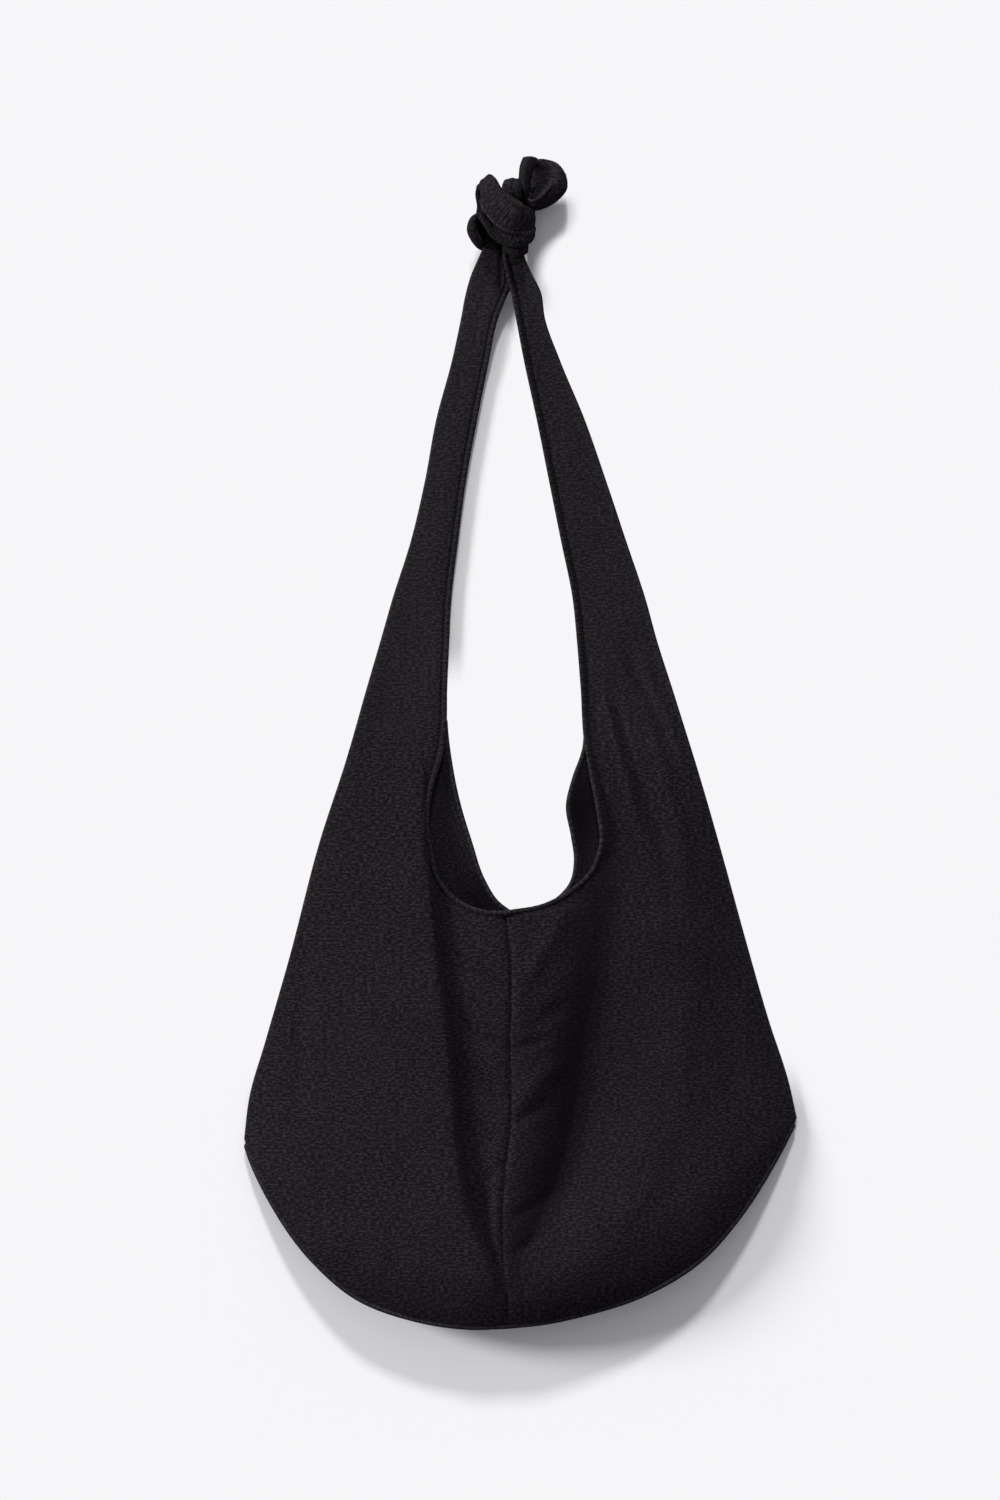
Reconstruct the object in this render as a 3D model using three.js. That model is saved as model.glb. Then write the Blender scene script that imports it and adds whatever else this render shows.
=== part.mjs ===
// A slouchy cloth crossbody bag that hangs by its knotted strap. Millimetres, +Z up, front towards -Y.
// Each half of the bag is one canvas panel, folded round its side and running up into its own strap.
// The two straps are tied together, and the origin is the hang point, where they part below the knot.
import * as THREE from "three";

// Cloth and clearances
const clearance = 0.3;
const canvasThickness = 1.2;
const liningThickness = 0.6;
const foldRadius = 2.8; // a panel folded flat is twice this thick
const bindingWidth = 3;
const bindingProud = 0.4;
const weltHeight = 3;

// Heights below the hang point
const strapFoldDrop = 314; // the line where the straps fold over from the bag
const frontMouthDrop = 503;
const backMouthDrop = 499;
const bottomDrop = 829;

// The back hangs flat, and the front swells out from the plane of the side folds
const frontBelly = 32;
const seamForward = 26; // the middle of the bottom seam stands this far in front of its corners
const strapTop = 8; // the straps go into the knot this far above the hang point

// The empty front sinks in along its centre seam, as far as the edge of a fuller lobe on each side
const sink = { startDrop: 414, fullDrop: 538, fadeDrop: 690, endDrop: 798, atSeam: 4, valleyCurve: 1.6 };
const lobeEdgeHalf = 4; // the valley rises to the lobe over twice this width

// The knot: each strap, squeezed into a rope, climbs the core and makes one tilted turn round it
const ropeWide = 15;
const ropeThick = 8.4;
const turnThick = 10.4; // the turns lie broader and fuller than the rope in the core
const knotCentre = -7;
const upperTurn = { height: 64, tilt: 14, reach: 20, depth: 17 };
const lowerTurn = { height: 38, tilt: 6, reach: 22, depth: 18 };
const ropeSides = 10;
const ropeStepsPerStation = 3;
const shortTail = { root: [6, 8, 83], heading: [0.2, -0.2, 1], length: 24, tipWide: 17, tipThick: 5 };
const longTail = { root: [31, 8, 74], heading: [0.75, -0.4, 0.9], length: 20, tipWide: 32, tipThick: 9 };

// Where the ropes run between the straps, their turns and their tails: place, width, thickness and flat side
const leftClimb = [
  { at: [-13, -1, 22], wide: 15, thick: 7 },
  { at: [-8, -5, 36], wide: 13 },
  { at: [-8, -4, 52], wide: 13 },
  { at: [-11, 1, 66], wide: 12 },
  { at: [-17, 3, 79], wide: 12, press: [-0.5, 0.45, 0.75] },
];
const leftTurnWidths = [[204, 17], [240, 26], [270, 26], [315, 20], [360, 17]];
const leftExit = [{ at: [8.5, 11.5, 60], wide: 12, thick: 9, press: [0.3, 0.6, -0.75] }];
const rightClimb = [
  { at: [5, 2, 22], wide: 13, thick: 7 },
  { at: [-4, 7, 33], wide: 12 },
  { at: [-13, 13, 42], wide: 13, press: [-0.2, 0.95, 0.2] },
];
const rightTurnWidths = [[145, 18], [180, 22], [225, 24], [270, 21], [315, 17], [360, 16]];
const rightExit = [
  { at: [19, 11, 37], wide: 13, thick: 10, press: [0.15, -0.5, 0.85] },
  { at: [23, 17, 50], wide: 13, thick: 9, press: [0.1, -0.87, 0.48] },
];

// One entry for each half, in distances out from the centre seam and down from the hang point
const leftHalf = {
  side: -1,
  name: "left",
  corner: { out: 211, drop: 680, foldBow: 3 },
  bottom: { reach: 98, sag: 7, shoulderIn: 31, shoulderDown: 110 },
  strapRoot: { inner: 53, outer: 111 },
  strapMiddle: { inner: 34, outer: 67, drop: 154 },
  strapEnd: { inner: 4, outer: 30 },
  frontMouth: { low: 98, high: 63, highDrop: 390 },
  backMouth: { low: 21, high: 53, highDrop: 420 },
  lobe: { edge: [[80, 414], [65, 490], [52, 578], [38, 706], [16, 798]], valley: 12, dip: 0, reach: 30 },
};
const rightHalf = {
  side: 1,
  name: "right",
  corner: { out: 231, drop: 665, foldBow: 2 },
  bottom: { reach: 98, sag: 6, shoulderIn: 41, shoulderDown: 103 },
  strapRoot: { inner: 62, outer: 129 },
  strapMiddle: { inner: 34, outer: 78, drop: 154 },
  strapEnd: { inner: -2.4, outer: 22 },
  frontMouth: { low: 108, high: 78, highDrop: 400 },
  backMouth: { low: 63, high: 51, highDrop: 410 },
  lobe: { edge: [[98, 414], [85, 500], [76, 578], [46, 698], [18, 798]], valley: 18, dip: 12, reach: 32 },
};

// A panel's rows climb from the bottom seam (0) to the strap fold (1), its columns go from seam to side fold
const mouthRow = 0.58; // where the rows leave the centre seam for the mouth edge
const roundRow = 0.4; // the bottom is fully rounded out by this row
const slackRow = 0.45; // above this row the bag flattens towards the straps
const forwardRow = 0.36; // up to this row the bag leans out to its bottom seam
const bottomSteps = 6;
const seamSteps = 3;
const mouthSteps = 9;
const valleyShares = [0, 0.4, 0.75]; // columns between the centre seam and the foot of a lobe
const lobeSteps = 4; // columns from the edge of a lobe to its side fold
const frontSteps = valleyShares.length + 1 + lobeSteps;
const foldSteps = 3; // facets in a quarter of the side fold
const liningTopRow = 0.95;
const mostMitre = 0.6; // a bend lengthens the way through the cloth by at most 1 / this

// Canvas black, and a smoother, slightly lighter lining
const canvas = new THREE.MeshStandardMaterial({ color: 0x211f22, roughness: 0.95, metalness: 0 });
const liningCloth = new THREE.MeshStandardMaterial({ color: 0x19181b, roughness: 0.85, metalness: 0 });

const part = new THREE.Group();

function addPiece(name, geometry, material) {
  const piece = new THREE.Mesh(geometry, material);
  piece.name = name;
  part.add(piece);
}

// Closed geometry from points and triangles, turned so that its faces point out
function closedGeometry(points, triangles) {
  let volume = 0;
  for (const [a, b, c] of triangles) {
    volume += points[a].dot(new THREE.Vector3().crossVectors(points[b], points[c]));
  }
  const faces = volume < 0 ? triangles.map(([a, b, c]) => [a, c, b]) : triangles;
  const geometry = new THREE.BufferGeometry().setFromPoints(points);
  geometry.setIndex(faces.flat());
  geometry.computeVertexNormals();
  return geometry;
}

// A solid lofted through closed rings of points, with a fan at each end
function loft(rings) {
  const count = rings[0].length;
  const points = rings.flat();
  const triangles = [];
  for (let r = 0; r + 1 < rings.length; r++) {
    for (let k = 0; k < count; k++) {
      const next = (k + 1) % count;
      const low = r * count;
      const high = low + count;
      triangles.push([low + k, low + next, high + next], [low + k, high + next, high + k]);
    }
  }
  const lastRing = (rings.length - 1) * count;
  for (const [start, turn] of [[0, true], [lastRing, false]]) {
    const centre = new THREE.Vector3();
    for (let k = 0; k < count; k++) centre.addScaledVector(points[start + k], 1 / count);
    points.push(centre);
    for (let k = 0; k < count; k++) {
      const pair = [start + k, start + ((k + 1) % count)];
      if (turn) pair.reverse();
      triangles.push([points.length - 1, ...pair]);
    }
  }
  return closedGeometry(points, triangles);
}

// A sheet of cloth between two grids of points with the same rows and columns
function slab(outside, inside) {
  const rows = outside.length;
  const columns = outside[0].length;
  const points = [...outside.flat(), ...inside.flat()];
  const under = rows * columns;
  const triangles = [];
  const quad = (a, b, c, d) => triangles.push([a, b, c], [a, c, d]);
  const at = (row, column) => row * columns + column;
  for (let r = 0; r + 1 < rows; r++) {
    for (let c = 0; c + 1 < columns; c++) {
      quad(at(r, c), at(r, c + 1), at(r + 1, c + 1), at(r + 1, c));
      quad(under + at(r, c), under + at(r + 1, c), under + at(r + 1, c + 1), under + at(r, c + 1));
    }
    const last = columns - 1;
    quad(at(r, 0), at(r + 1, 0), under + at(r + 1, 0), under + at(r, 0));
    quad(at(r + 1, last), at(r, last), under + at(r, last), under + at(r + 1, last));
  }
  for (let c = 0; c + 1 < columns; c++) {
    const top = rows - 1;
    quad(at(0, c + 1), at(0, c), under + at(0, c), under + at(0, c + 1));
    quad(at(top, c), at(top, c + 1), under + at(top, c + 1), under + at(top, c));
  }
  return closedGeometry(points, triangles);
}

// The direction out of a panel's cloth at one point, longer at a bend so that the cloth keeps its thickness
function outward(grid, row, column, side) {
  const point = grid[row][column];
  const towards = (to, from) => to.clone().sub(from).normalize();
  const last = grid[row].length - 1;
  const before = column > 0 ? towards(point, grid[row][column - 1]) : towards(grid[row][1], point);
  const after = column < last ? towards(grid[row][column + 1], point) : before;
  const across = before.clone().add(after).normalize();
  const low = grid[Math.max(row - 1, 0)][column];
  const high = grid[Math.min(row + 1, grid.length - 1)][column];
  const out = across.clone().cross(towards(high, low)).multiplyScalar(side);
  if (Math.abs(point.x) < clearance) out.setX(0);
  return out.normalize().multiplyScalar(1 / Math.max(across.dot(before), mostMitre));
}

// The grid moved into the bag by one distance
function inset(grid, distance, side) {
  return grid.map((line, row) =>
    line.map((point, column) => point.clone().addScaledVector(outward(grid, row, column, side), -distance)),
  );
}

// Outline of one half, front or back, as a patch: across 0 is the seam and mouth edge, 1 the side fold
function outlinePatch(half, mouth, mouthDrop) {
  const { corner, bottom, strapRoot } = half;
  const seam = clearance / 2;
  const rootDrop = strapFoldDrop + foldRadius + clearance;
  const flat = (out, drop) => new THREE.Vector2(out, -drop);
  const bottomCurve = new THREE.CubicBezierCurve(
    flat(seam, bottomDrop),
    flat(bottom.reach, bottomDrop + bottom.sag),
    flat(corner.out - bottom.shoulderIn, corner.drop + bottom.shoulderDown),
    flat(corner.out, corner.drop),
  );
  const mouthCurve = new THREE.CubicBezierCurve(
    flat(seam, mouthDrop),
    flat(mouth.low, mouthDrop),
    flat(mouth.high, mouth.highDrop),
    flat(strapRoot.inner, rootDrop),
  );
  const centreSeam = new THREE.LineCurve(flat(seam, bottomDrop), flat(seam, mouthDrop));
  const foldOut = (corner.out + strapRoot.outer) / 2 + corner.foldBow * 2;
  const sideFold = new THREE.QuadraticBezierCurve(
    flat(corner.out, corner.drop),
    flat(foldOut, (corner.drop + rootDrop) / 2),
    flat(strapRoot.outer, rootDrop),
  );
  const strapLine = new THREE.LineCurve(flat(strapRoot.inner, rootDrop), flat(strapRoot.outer, rootDrop));
  const innerEdge = (up) =>
    up <= mouthRow
      ? centreSeam.getPoint(up / mouthRow)
      : mouthCurve.getPoint((up - mouthRow) / (1 - mouthRow));
  return (across, up) => {
    const point = new THREE.Vector2();
    point.addScaledVector(bottomCurve.getPoint(across), 1 - up);
    point.addScaledVector(strapLine.getPoint(across), up);
    point.addScaledVector(innerEdge(up), 1 - across);
    point.addScaledVector(sideFold.getPoint(up), across);
    point.addScaledVector(bottomCurve.getPoint(0), -(1 - across) * (1 - up));
    point.addScaledVector(bottomCurve.getPoint(1), -across * (1 - up));
    point.addScaledVector(strapLine.getPoint(0), -(1 - across) * up);
    point.addScaledVector(strapLine.getPoint(1), -across * up);
    return point;
  };
}

// How full the bag is at a row: rounded out of the bottom seam, slack towards the straps
function fullness(up) {
  if (up < roundRow) return Math.sqrt(1 - (1 - up / roundRow) ** 2);
  return 1 - THREE.MathUtils.smoothstep(up, slackRow, 1);
}

function panelRows() {
  const rows = [];
  for (let i = 0; i < bottomSteps; i++) {
    rows.push(roundRow * (1 - Math.cos(((i / bottomSteps) * Math.PI) / 2)));
  }
  for (let i = 0; i < seamSteps; i++) rows.push(roundRow + ((mouthRow - roundRow) * i) / seamSteps);
  for (let i = 0; i <= mouthSteps; i++) rows.push(mouthRow + ((1 - mouthRow) * i) / mouthSteps);
  return rows;
}

// How much of the sink shows at a height: it opens below the mouth and closes above the bottom
function sinkShare(drop) {
  const opened = THREE.MathUtils.smoothstep(drop, sink.startDrop, sink.fullDrop);
  return opened * (1 - THREE.MathUtils.smoothstep(drop, sink.fadeDrop, sink.endDrop));
}

// How far out from the centre seam a lobe's edge lies at a height
function lobeEdge(half, drop) {
  const points = half.lobe.edge;
  const next = Math.max(points.findIndex((point) => point[1] >= drop), 1);
  const [lowOut, lowDrop] = points[next - 1];
  const [highOut, highDrop] = points[next];
  const share = THREE.MathUtils.clamp((drop - lowDrop) / (highDrop - lowDrop), 0, 1);
  return THREE.MathUtils.lerp(lowOut, highOut, share);
}

// How far the front falls back at one point of it
function frontSink(half, flat) {
  const { valley, dip, reach } = half.lobe;
  const drop = -flat.y;
  const edge = lobeEdge(half, drop);
  const toValley = Math.max(flat.x / (edge - lobeEdgeHalf), 0);
  const middle = sink.atSeam + (valley - sink.atSeam) * Math.min(toValley, 1) ** sink.valleyCurve;
  const lobe = dip * Math.exp(-Math.max(flat.x - edge, 0) / reach);
  const onLobe = THREE.MathUtils.clamp((flat.x - edge) / (2 * lobeEdgeHalf) + 0.5, 0, 1);
  return THREE.MathUtils.lerp(middle, lobe, onLobe) * sinkShare(drop);
}

// Columns of the front at a row: even, but where it sinks they follow the foot of the lobe and its edge
function frontColumns(half, patch, up, flatShare) {
  const width = patch(0, up).distanceTo(patch(1, up));
  let inside = 0;
  let outside = 1;
  for (let i = 0; i < 30; i++) {
    const middle = (inside + outside) / 2;
    const flat = patch(middle, up);
    if (flat.x < lobeEdge(half, -flat.y)) inside = middle;
    else outside = middle;
  }
  const halfEdge = lobeEdgeHalf / width;
  const edge = Math.max(inside, 2 * halfEdge);
  const columns = valleyShares.map((share) => share * (edge - halfEdge));
  columns.push(edge - halfEdge);
  const lobeStart = edge + halfEdge;
  for (let i = 0; i < lobeSteps; i++) columns.push(lobeStart + ((flatShare - lobeStart) * i) / lobeSteps);
  const drop = -patch(edge, up).y;
  const gathered = THREE.MathUtils.smoothstep(drop, sink.startDrop, frontMouthDrop);
  const followed = gathered * (1 - THREE.MathUtils.smoothstep(drop, sink.fadeDrop, bottomDrop));
  return columns.map((across, i) => THREE.MathUtils.lerp((flatShare * i) / frontSteps, across, followed));
}

// The outside of one half: each row runs from the front edge, round the side fold, to the back edge
function panelSkin(half) {
  const front = outlinePatch(half, half.frontMouth, frontMouthDrop);
  const back = outlinePatch(half, half.backMouth, backMouthDrop);
  return panelRows().map((up) => {
    const swell = (across) => (1 - across ** 2) * fullness(up);
    const lean = 1 - THREE.MathUtils.smoothstep(up, 0, forwardRow);
    const forward = (across) => seamForward * (1 - across ** 2) * lean;
    const frontPoint = (across, edge) => {
      const flat = front(across, up);
      const depth = edge + frontBelly * swell(across) - frontSink(half, flat) + forward(across);
      return new THREE.Vector3(half.side * flat.x, -depth, flat.y);
    };
    const backPoint = (across, edge) => {
      const flat = back(across, up);
      return new THREE.Vector3(half.side * flat.x, edge - forward(across), flat.y);
    };
    const frontFlat = 1 - foldRadius / front(0, up).distanceTo(front(1, up));
    const backFlat = 1 - foldRadius / back(0, up).distanceTo(back(1, up));
    const line = frontColumns(half, front, up, frontFlat).map((across) => frontPoint(across, foldRadius));
    for (let i = -foldSteps; i <= foldSteps; i++) {
      const angle = ((i / foldSteps) * Math.PI) / 2;
      const flatShare = i < 0 ? frontFlat : backFlat;
      const across = flatShare + (1 - flatShare) * Math.cos(angle);
      const edge = foldRadius * Math.sin(Math.abs(angle));
      line.push(i < 0 ? frontPoint(across, edge) : backPoint(across, edge));
    }
    for (let i = frontSteps - 1; i >= 0; i--) line.push(backPoint((backFlat * i) / frontSteps, foldRadius));
    return line;
  });
}

const halves = [leftHalf, rightHalf];
const skins = halves.map(panelSkin);

// Canvas panels and their lining, which stops just above the bottom seam
halves.forEach((half, h) => {
  const skin = skins[h];
  addPiece(`${half.name}_panel`, slab(skin, inset(skin, canvasThickness, half.side)), canvas);
  const rows = panelRows();
  const lined = (distance) =>
    inset(skin, distance, half.side).filter((_, row) => row > 0 && rows[row] <= liningTopRow);
  const outside = canvasThickness + clearance;
  addPiece(`${half.name}_lining`, slab(lined(outside), lined(outside + liningThickness)), liningCloth);
});

// A binding folded over the front or back edge of the mouth, from strap to strap
function mouthBinding(column) {
  const firstMouthRow = bottomSteps + seamSteps;
  const inner = canvasThickness + clearance + liningThickness + bindingProud;
  const ringAt = (h, row) => {
    const grid = skins[h];
    const last = grid[row].length - 1;
    const here = column === "front" ? 0 : last;
    const beside = column === "front" ? 1 : last - 1;
    const point = grid[row][here];
    const out = outward(grid, row, here, halves[h].side);
    const ahead = grid[Math.min(row + 1, grid.length - 1)][here];
    const behind = grid[Math.max(row - 1, firstMouthRow)][here];
    const along = ahead.clone().sub(behind).normalize();
    if (row === firstMouthRow) along.set(halves[h].side, 0, 0);
    const away = point.clone().sub(grid[row][beside]);
    away.addScaledVector(along, -away.dot(along)).addScaledVector(out, -away.dot(out)).normalize();
    const rolled = bindingWidth / 3;
    const section = [
      [clearance, bindingProud],
      [clearance + bindingWidth - rolled, bindingProud],
      [clearance + bindingWidth, bindingProud - rolled],
      [clearance + bindingWidth, rolled - inner],
      [clearance + bindingWidth - rolled, -inner],
      [clearance, -inner],
    ];
    return section.map(([a, o]) => point.clone().addScaledVector(away, a).addScaledVector(out, o));
  };
  const topRow = skins[0].length - 1;
  const rings = [];
  for (let row = topRow; row > firstMouthRow; row--) rings.push(ringAt(0, row));
  const meeting = ringAt(0, firstMouthRow);
  const other = ringAt(1, firstMouthRow);
  rings.push(meeting.map((point, i) => point.clone().lerp(other[i], 0.5)));
  for (let row = firstMouthRow + 1; row <= topRow; row++) rings.push(ringAt(1, row));
  return loft(rings);
}
addPiece("front_mouth_binding", mouthBinding("front"), canvas);
addPiece("back_mouth_binding", mouthBinding("back"), canvas);

// The rolled seam along the bottom, from side corner to side corner
function bottomWelt() {
  const sides = 8;
  const line = [];
  for (const h of [0, 1]) {
    const edge = skins[h][0];
    const facing = edge.slice(0, frontSteps + foldSteps + 1);
    const points = facing.map((point, i) => point.clone().lerp(edge[edge.length - 1 - i], 0.5));
    line.push(...(h === 0 ? points.reverse() : points.slice(1)));
  }
  line[frontSteps + foldSteps].x = 0;
  const rings = line.map((point, i) => {
    const along = line[Math.min(i + 1, line.length - 1)].clone().sub(line[Math.max(i - 1, 0)]);
    const down = new THREE.Vector3(along.z, 0, -along.x).normalize();
    const tallest = Math.sin(Math.PI * (0.5 - 1 / sides));
    const ring = [];
    for (let k = 0; k < sides; k++) {
      const angle = (2 * Math.PI * (k + 0.5)) / sides;
      const depth = clearance + (weltHeight / 2) * (1 + Math.sin(angle) / tallest);
      const corner = point.clone().addScaledVector(down, depth);
      ring.push(corner.setY(point.y + foldRadius * Math.cos(angle)));
    }
    return ring;
  });
  return loft(rings);
}
addPiece("bottom_welt", bottomWelt(), canvas);

// Straps, round at the lower end where they fold over from the bag
function strap(half) {
  const { strapRoot, strapMiddle, strapEnd } = half;
  const bound = bindingWidth + clearance;
  const edge = (root, middle, end) =>
    new THREE.SplineCurve([
      new THREE.Vector2(root, -strapFoldDrop),
      new THREE.Vector2(middle, -strapMiddle.drop),
      new THREE.Vector2(end, strapTop),
    ]);
  const inner = edge(strapRoot.inner - bound, strapMiddle.inner, strapEnd.inner);
  const outer = edge(strapRoot.outer, strapMiddle.outer, strapEnd.outer);
  const ring = (a, b, lower, halfThick) => {
    const points = [];
    for (const [end, turn] of [[b, 1], [a, -1]]) {
      for (let k = -2; k <= 2; k++) {
        const angle = (k * Math.PI) / 4 + (turn < 0 ? Math.PI : 0);
        const centre = end.x - turn * halfThick;
        const x = centre + halfThick * Math.cos(angle);
        points.push(new THREE.Vector3(half.side * x, halfThick * Math.sin(angle), end.y - lower));
      }
    }
    return points;
  };
  const rings = [];
  for (let i = 4; i > 0; i--) {
    const angle = (i * Math.PI) / 9;
    const lower = foldRadius * Math.sin(angle);
    rings.push(ring(inner.getPoint(0), outer.getPoint(0), lower, foldRadius * Math.cos(angle)));
  }
  const strapSteps = 12;
  for (let i = 0; i <= strapSteps; i++) {
    const t = i / strapSteps;
    rings.push(ring(inner.getPoint(t), outer.getPoint(t), 0, foldRadius));
  }
  return loft(rings);
}
halves.forEach((half) => addPiece(`${half.name}_strap`, strap(half), canvas));

// One cross-section of a gathered strap: an oval across the way it runs, thin along "press"
function ropeRing(place, along, press, wide, thick) {
  const thin = press.clone().addScaledVector(along, -press.dot(along)).normalize();
  const broad = new THREE.Vector3().crossVectors(along, thin);
  const ring = [];
  for (let k = 0; k < ropeSides; k++) {
    const angle = (2 * Math.PI * k) / ropeSides;
    const point = place.clone().addScaledVector(broad, (wide / 2) * Math.cos(angle));
    ring.push(point.addScaledVector(thin, (thick / 2) * Math.sin(angle)));
  }
  return ring;
}

const vector = (x, y, z) => new THREE.Vector3(x, y, z);
const towardsBack = vector(0, 1, 0);

function stations(route) {
  return route.map(({ at, wide, thick = ropeThick, press }) => {
    return { place: vector(...at), wide, thick, press: press ? vector(...press) : towardsBack };
  });
}

// A station on a turn round the core: 180 degrees is the left, 270 the front, 360 the right
function onTurn(turn, degrees, wide) {
  const angle = THREE.MathUtils.degToRad(degrees);
  const x = knotCentre + turn.reach * Math.cos(angle);
  const y = turn.depth * Math.sin(angle);
  const z = turn.height - turn.tilt * Math.cos(angle);
  const press = vector(Math.cos(angle), Math.sin(angle), 0);
  return { place: vector(x, y, z), wide, thick: turnThick, press };
}

function tailFrame(tail) {
  const root = vector(...tail.root);
  const heading = vector(...tail.heading).normalize();
  return { root, heading };
}

// The stations where a rope comes up to its tail, square to the tail's hinge
function tailEntry(tail, facing) {
  const { root, heading } = tailFrame(tail);
  const seat = ropeThick / 2 + clearance;
  return [seat + ropeThick, seat].map((back) => {
    const place = root.clone().addScaledVector(heading, -back);
    return { place, wide: ropeWide, thick: ropeThick, press: vector(0, facing, 0) };
  });
}

function rope(half, route) {
  const { inner, outer } = half.strapEnd;
  const middle = vector((half.side * (inner + outer)) / 2, 0, strapTop + clearance);
  const start = { place: middle, wide: outer - inner, thick: foldRadius * 2, press: towardsBack };
  const all = [start, ...route];
  const path = new THREE.CatmullRomCurve3(all.map((entry) => entry.place), false, "centripetal");
  const rings = [];
  const steps = (all.length - 1) * ropeStepsPerStation;
  for (let i = 0; i <= steps; i++) {
    const low = Math.min(Math.floor(i / ropeStepsPerStation), all.length - 2);
    const share = i / ropeStepsPerStation - low;
    const mix = (key) => THREE.MathUtils.lerp(all[low][key], all[low + 1][key], share);
    const press = all[low].press.clone().lerp(all[low + 1].press, share);
    const along = i === 0 ? vector(0, 0, 1) : path.getTangent(i / steps);
    rings.push(ropeRing(path.getPoint(i / steps), along, press, mix("wide"), mix("thick")));
  }
  return loft(rings);
}

const leftRope = rope(leftHalf, [
  ...stations(leftClimb),
  ...leftTurnWidths.map(([degrees, wide]) => onTurn(upperTurn, degrees, wide)),
  ...stations(leftExit),
  ...tailEntry(shortTail, 1),
]);
addPiece("left_knot_turn", leftRope, canvas);

const rightRope = rope(rightHalf, [
  ...stations(rightClimb),
  ...rightTurnWidths.map(([degrees, wide]) => onTurn(lowerTurn, degrees, wide)),
  ...stations(rightExit),
  ...tailEntry(longTail, -1),
]);
addPiece("right_knot_turn", rightRope, canvas);

// A loose strap end that fans out of the knot, round at its hinge
function tailEnd(tail) {
  const { root, heading } = tailFrame(tail);
  const rings = [];
  for (let i = 4; i > 0; i--) {
    const angle = (i * Math.PI) / 9;
    const place = root.clone().addScaledVector(heading, (-ropeThick / 2) * Math.sin(angle));
    rings.push(ropeRing(place, heading, towardsBack, ropeWide, ropeThick * Math.cos(angle)));
  }
  const steps = 5;
  for (let i = 0; i <= steps; i++) {
    const share = i / steps;
    const wide = THREE.MathUtils.lerp(ropeWide, tail.tipWide, Math.sin((share * Math.PI) / 2));
    const thick = THREE.MathUtils.lerp(ropeThick, tail.tipThick, share);
    const place = root.clone().addScaledVector(heading, tail.length * share);
    rings.push(ropeRing(place, heading, towardsBack, wide, thick));
  }
  return loft(rings);
}
addPiece("left_strap_tail", tailEnd(shortTail), canvas);
addPiece("right_strap_tail", tailEnd(longTail), canvas);

export default part;
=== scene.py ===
import math
import bpy
import bmesh
import numpy as np
from mathutils import Matrix, Vector, noise


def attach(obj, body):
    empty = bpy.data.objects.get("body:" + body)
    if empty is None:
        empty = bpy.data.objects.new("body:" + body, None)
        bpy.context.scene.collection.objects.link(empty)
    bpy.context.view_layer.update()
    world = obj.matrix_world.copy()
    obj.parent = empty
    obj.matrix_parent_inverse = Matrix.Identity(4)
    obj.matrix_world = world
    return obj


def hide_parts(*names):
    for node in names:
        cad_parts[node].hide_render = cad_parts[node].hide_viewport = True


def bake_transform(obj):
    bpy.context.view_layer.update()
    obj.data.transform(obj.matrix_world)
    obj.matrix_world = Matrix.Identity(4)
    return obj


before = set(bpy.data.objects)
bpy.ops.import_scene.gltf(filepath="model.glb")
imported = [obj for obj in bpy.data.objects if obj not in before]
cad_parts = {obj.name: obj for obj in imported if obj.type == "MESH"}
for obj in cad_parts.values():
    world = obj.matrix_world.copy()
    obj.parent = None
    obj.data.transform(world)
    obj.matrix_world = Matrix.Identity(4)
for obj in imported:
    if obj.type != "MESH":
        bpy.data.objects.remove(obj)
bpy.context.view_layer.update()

mm = 0.001
lineSamples = 200  # points read off a line that is asked by its height
mergeWithin = 0.01 * mm
noiseSpread = 2.7  # how far apart the seeds lie in the noise

# how the photo looks at the bag: metres a pixel, the hang point and the image middle in its pixels
photo = {"pixel": 0.0008, "hang": (508, 288), "middle": (500, 750), "distance": 3.0, "lens": 90, "sensor": 36}
pixelMm = photo["pixel"] / mm
clothPixel = np.array([photo["pixel"], -photo["pixel"]])  # a pixel across and down, as lengths on the cloth


def fromPhoto(pixels, depth):
    # place of points seen at these pixels when they stand at this depth
    px, py = pixels[..., 0], pixels[..., 1]
    midX, midY = photo["middle"]
    hangX, hangY = photo["hang"]
    grow = photo["pixel"] * (photo["distance"] + depth) / photo["distance"]
    x = (midX - hangX) * photo["pixel"] + (px - midX) * grow
    z = (hangY - midY) * photo["pixel"] + (midY - py) * grow
    return np.stack([x, depth, z], axis=-1)


def hermite(s, start, leaving, end, arriving):
    # smooth way from start to end with these slopes at its two ends
    near = (2 * s**3 - 3 * s**2 + 1) * start + (s**3 - 2 * s**2 + s) * leaving
    return near + (3 * s**2 - 2 * s**3) * end + (s**3 - s**2) * arriving


def lengthAlong(points):
    return np.r_[0, np.cumsum(np.linalg.norm(np.diff(points, axis=0), axis=1))]


def readAlong(at, lengths, table):
    # every column of a table, read at these lengths
    return np.stack([np.interp(at, lengths, column) for column in table.T], axis=-1)


def lineThrough(points):
    # smooth line through a few points, asked by share of its length
    spots = np.array(points, float)
    shares = lengthAlong(spots)
    shares /= shares[-1]
    slopes = np.gradient(spots, shares, axis=0)

    def at(share):
        t = np.clip(np.asarray(share, float), 0, 1)
        i = np.clip(np.searchsorted(shares, t, side="right") - 1, 0, len(shares) - 2)
        gap = (shares[i + 1] - shares[i])[..., None]
        s = (t - shares[i])[..., None] / gap
        return hermite(s, spots[i], gap * slopes[i], spots[i + 1], gap * slopes[i + 1])

    return at


def downLine(points):
    # pixel x of a line that runs down the bag, asked by pixel y
    line = lineThrough(points)(np.linspace(0, 1, lineSamples))
    return lambda y: np.interp(y, line[:, 1], line[:, 0])


def ease(value, low, high):
    t = np.clip((value - low) / (high - low), 0, 1)
    return t * t * (3 - 2 * t)


def between(value, start, full, fall, end):
    return ease(value, start, full) * (1 - ease(value, fall, end))


def hump(value, middle, width):
    return np.exp(-(((value - middle) / width) ** 2))


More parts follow.
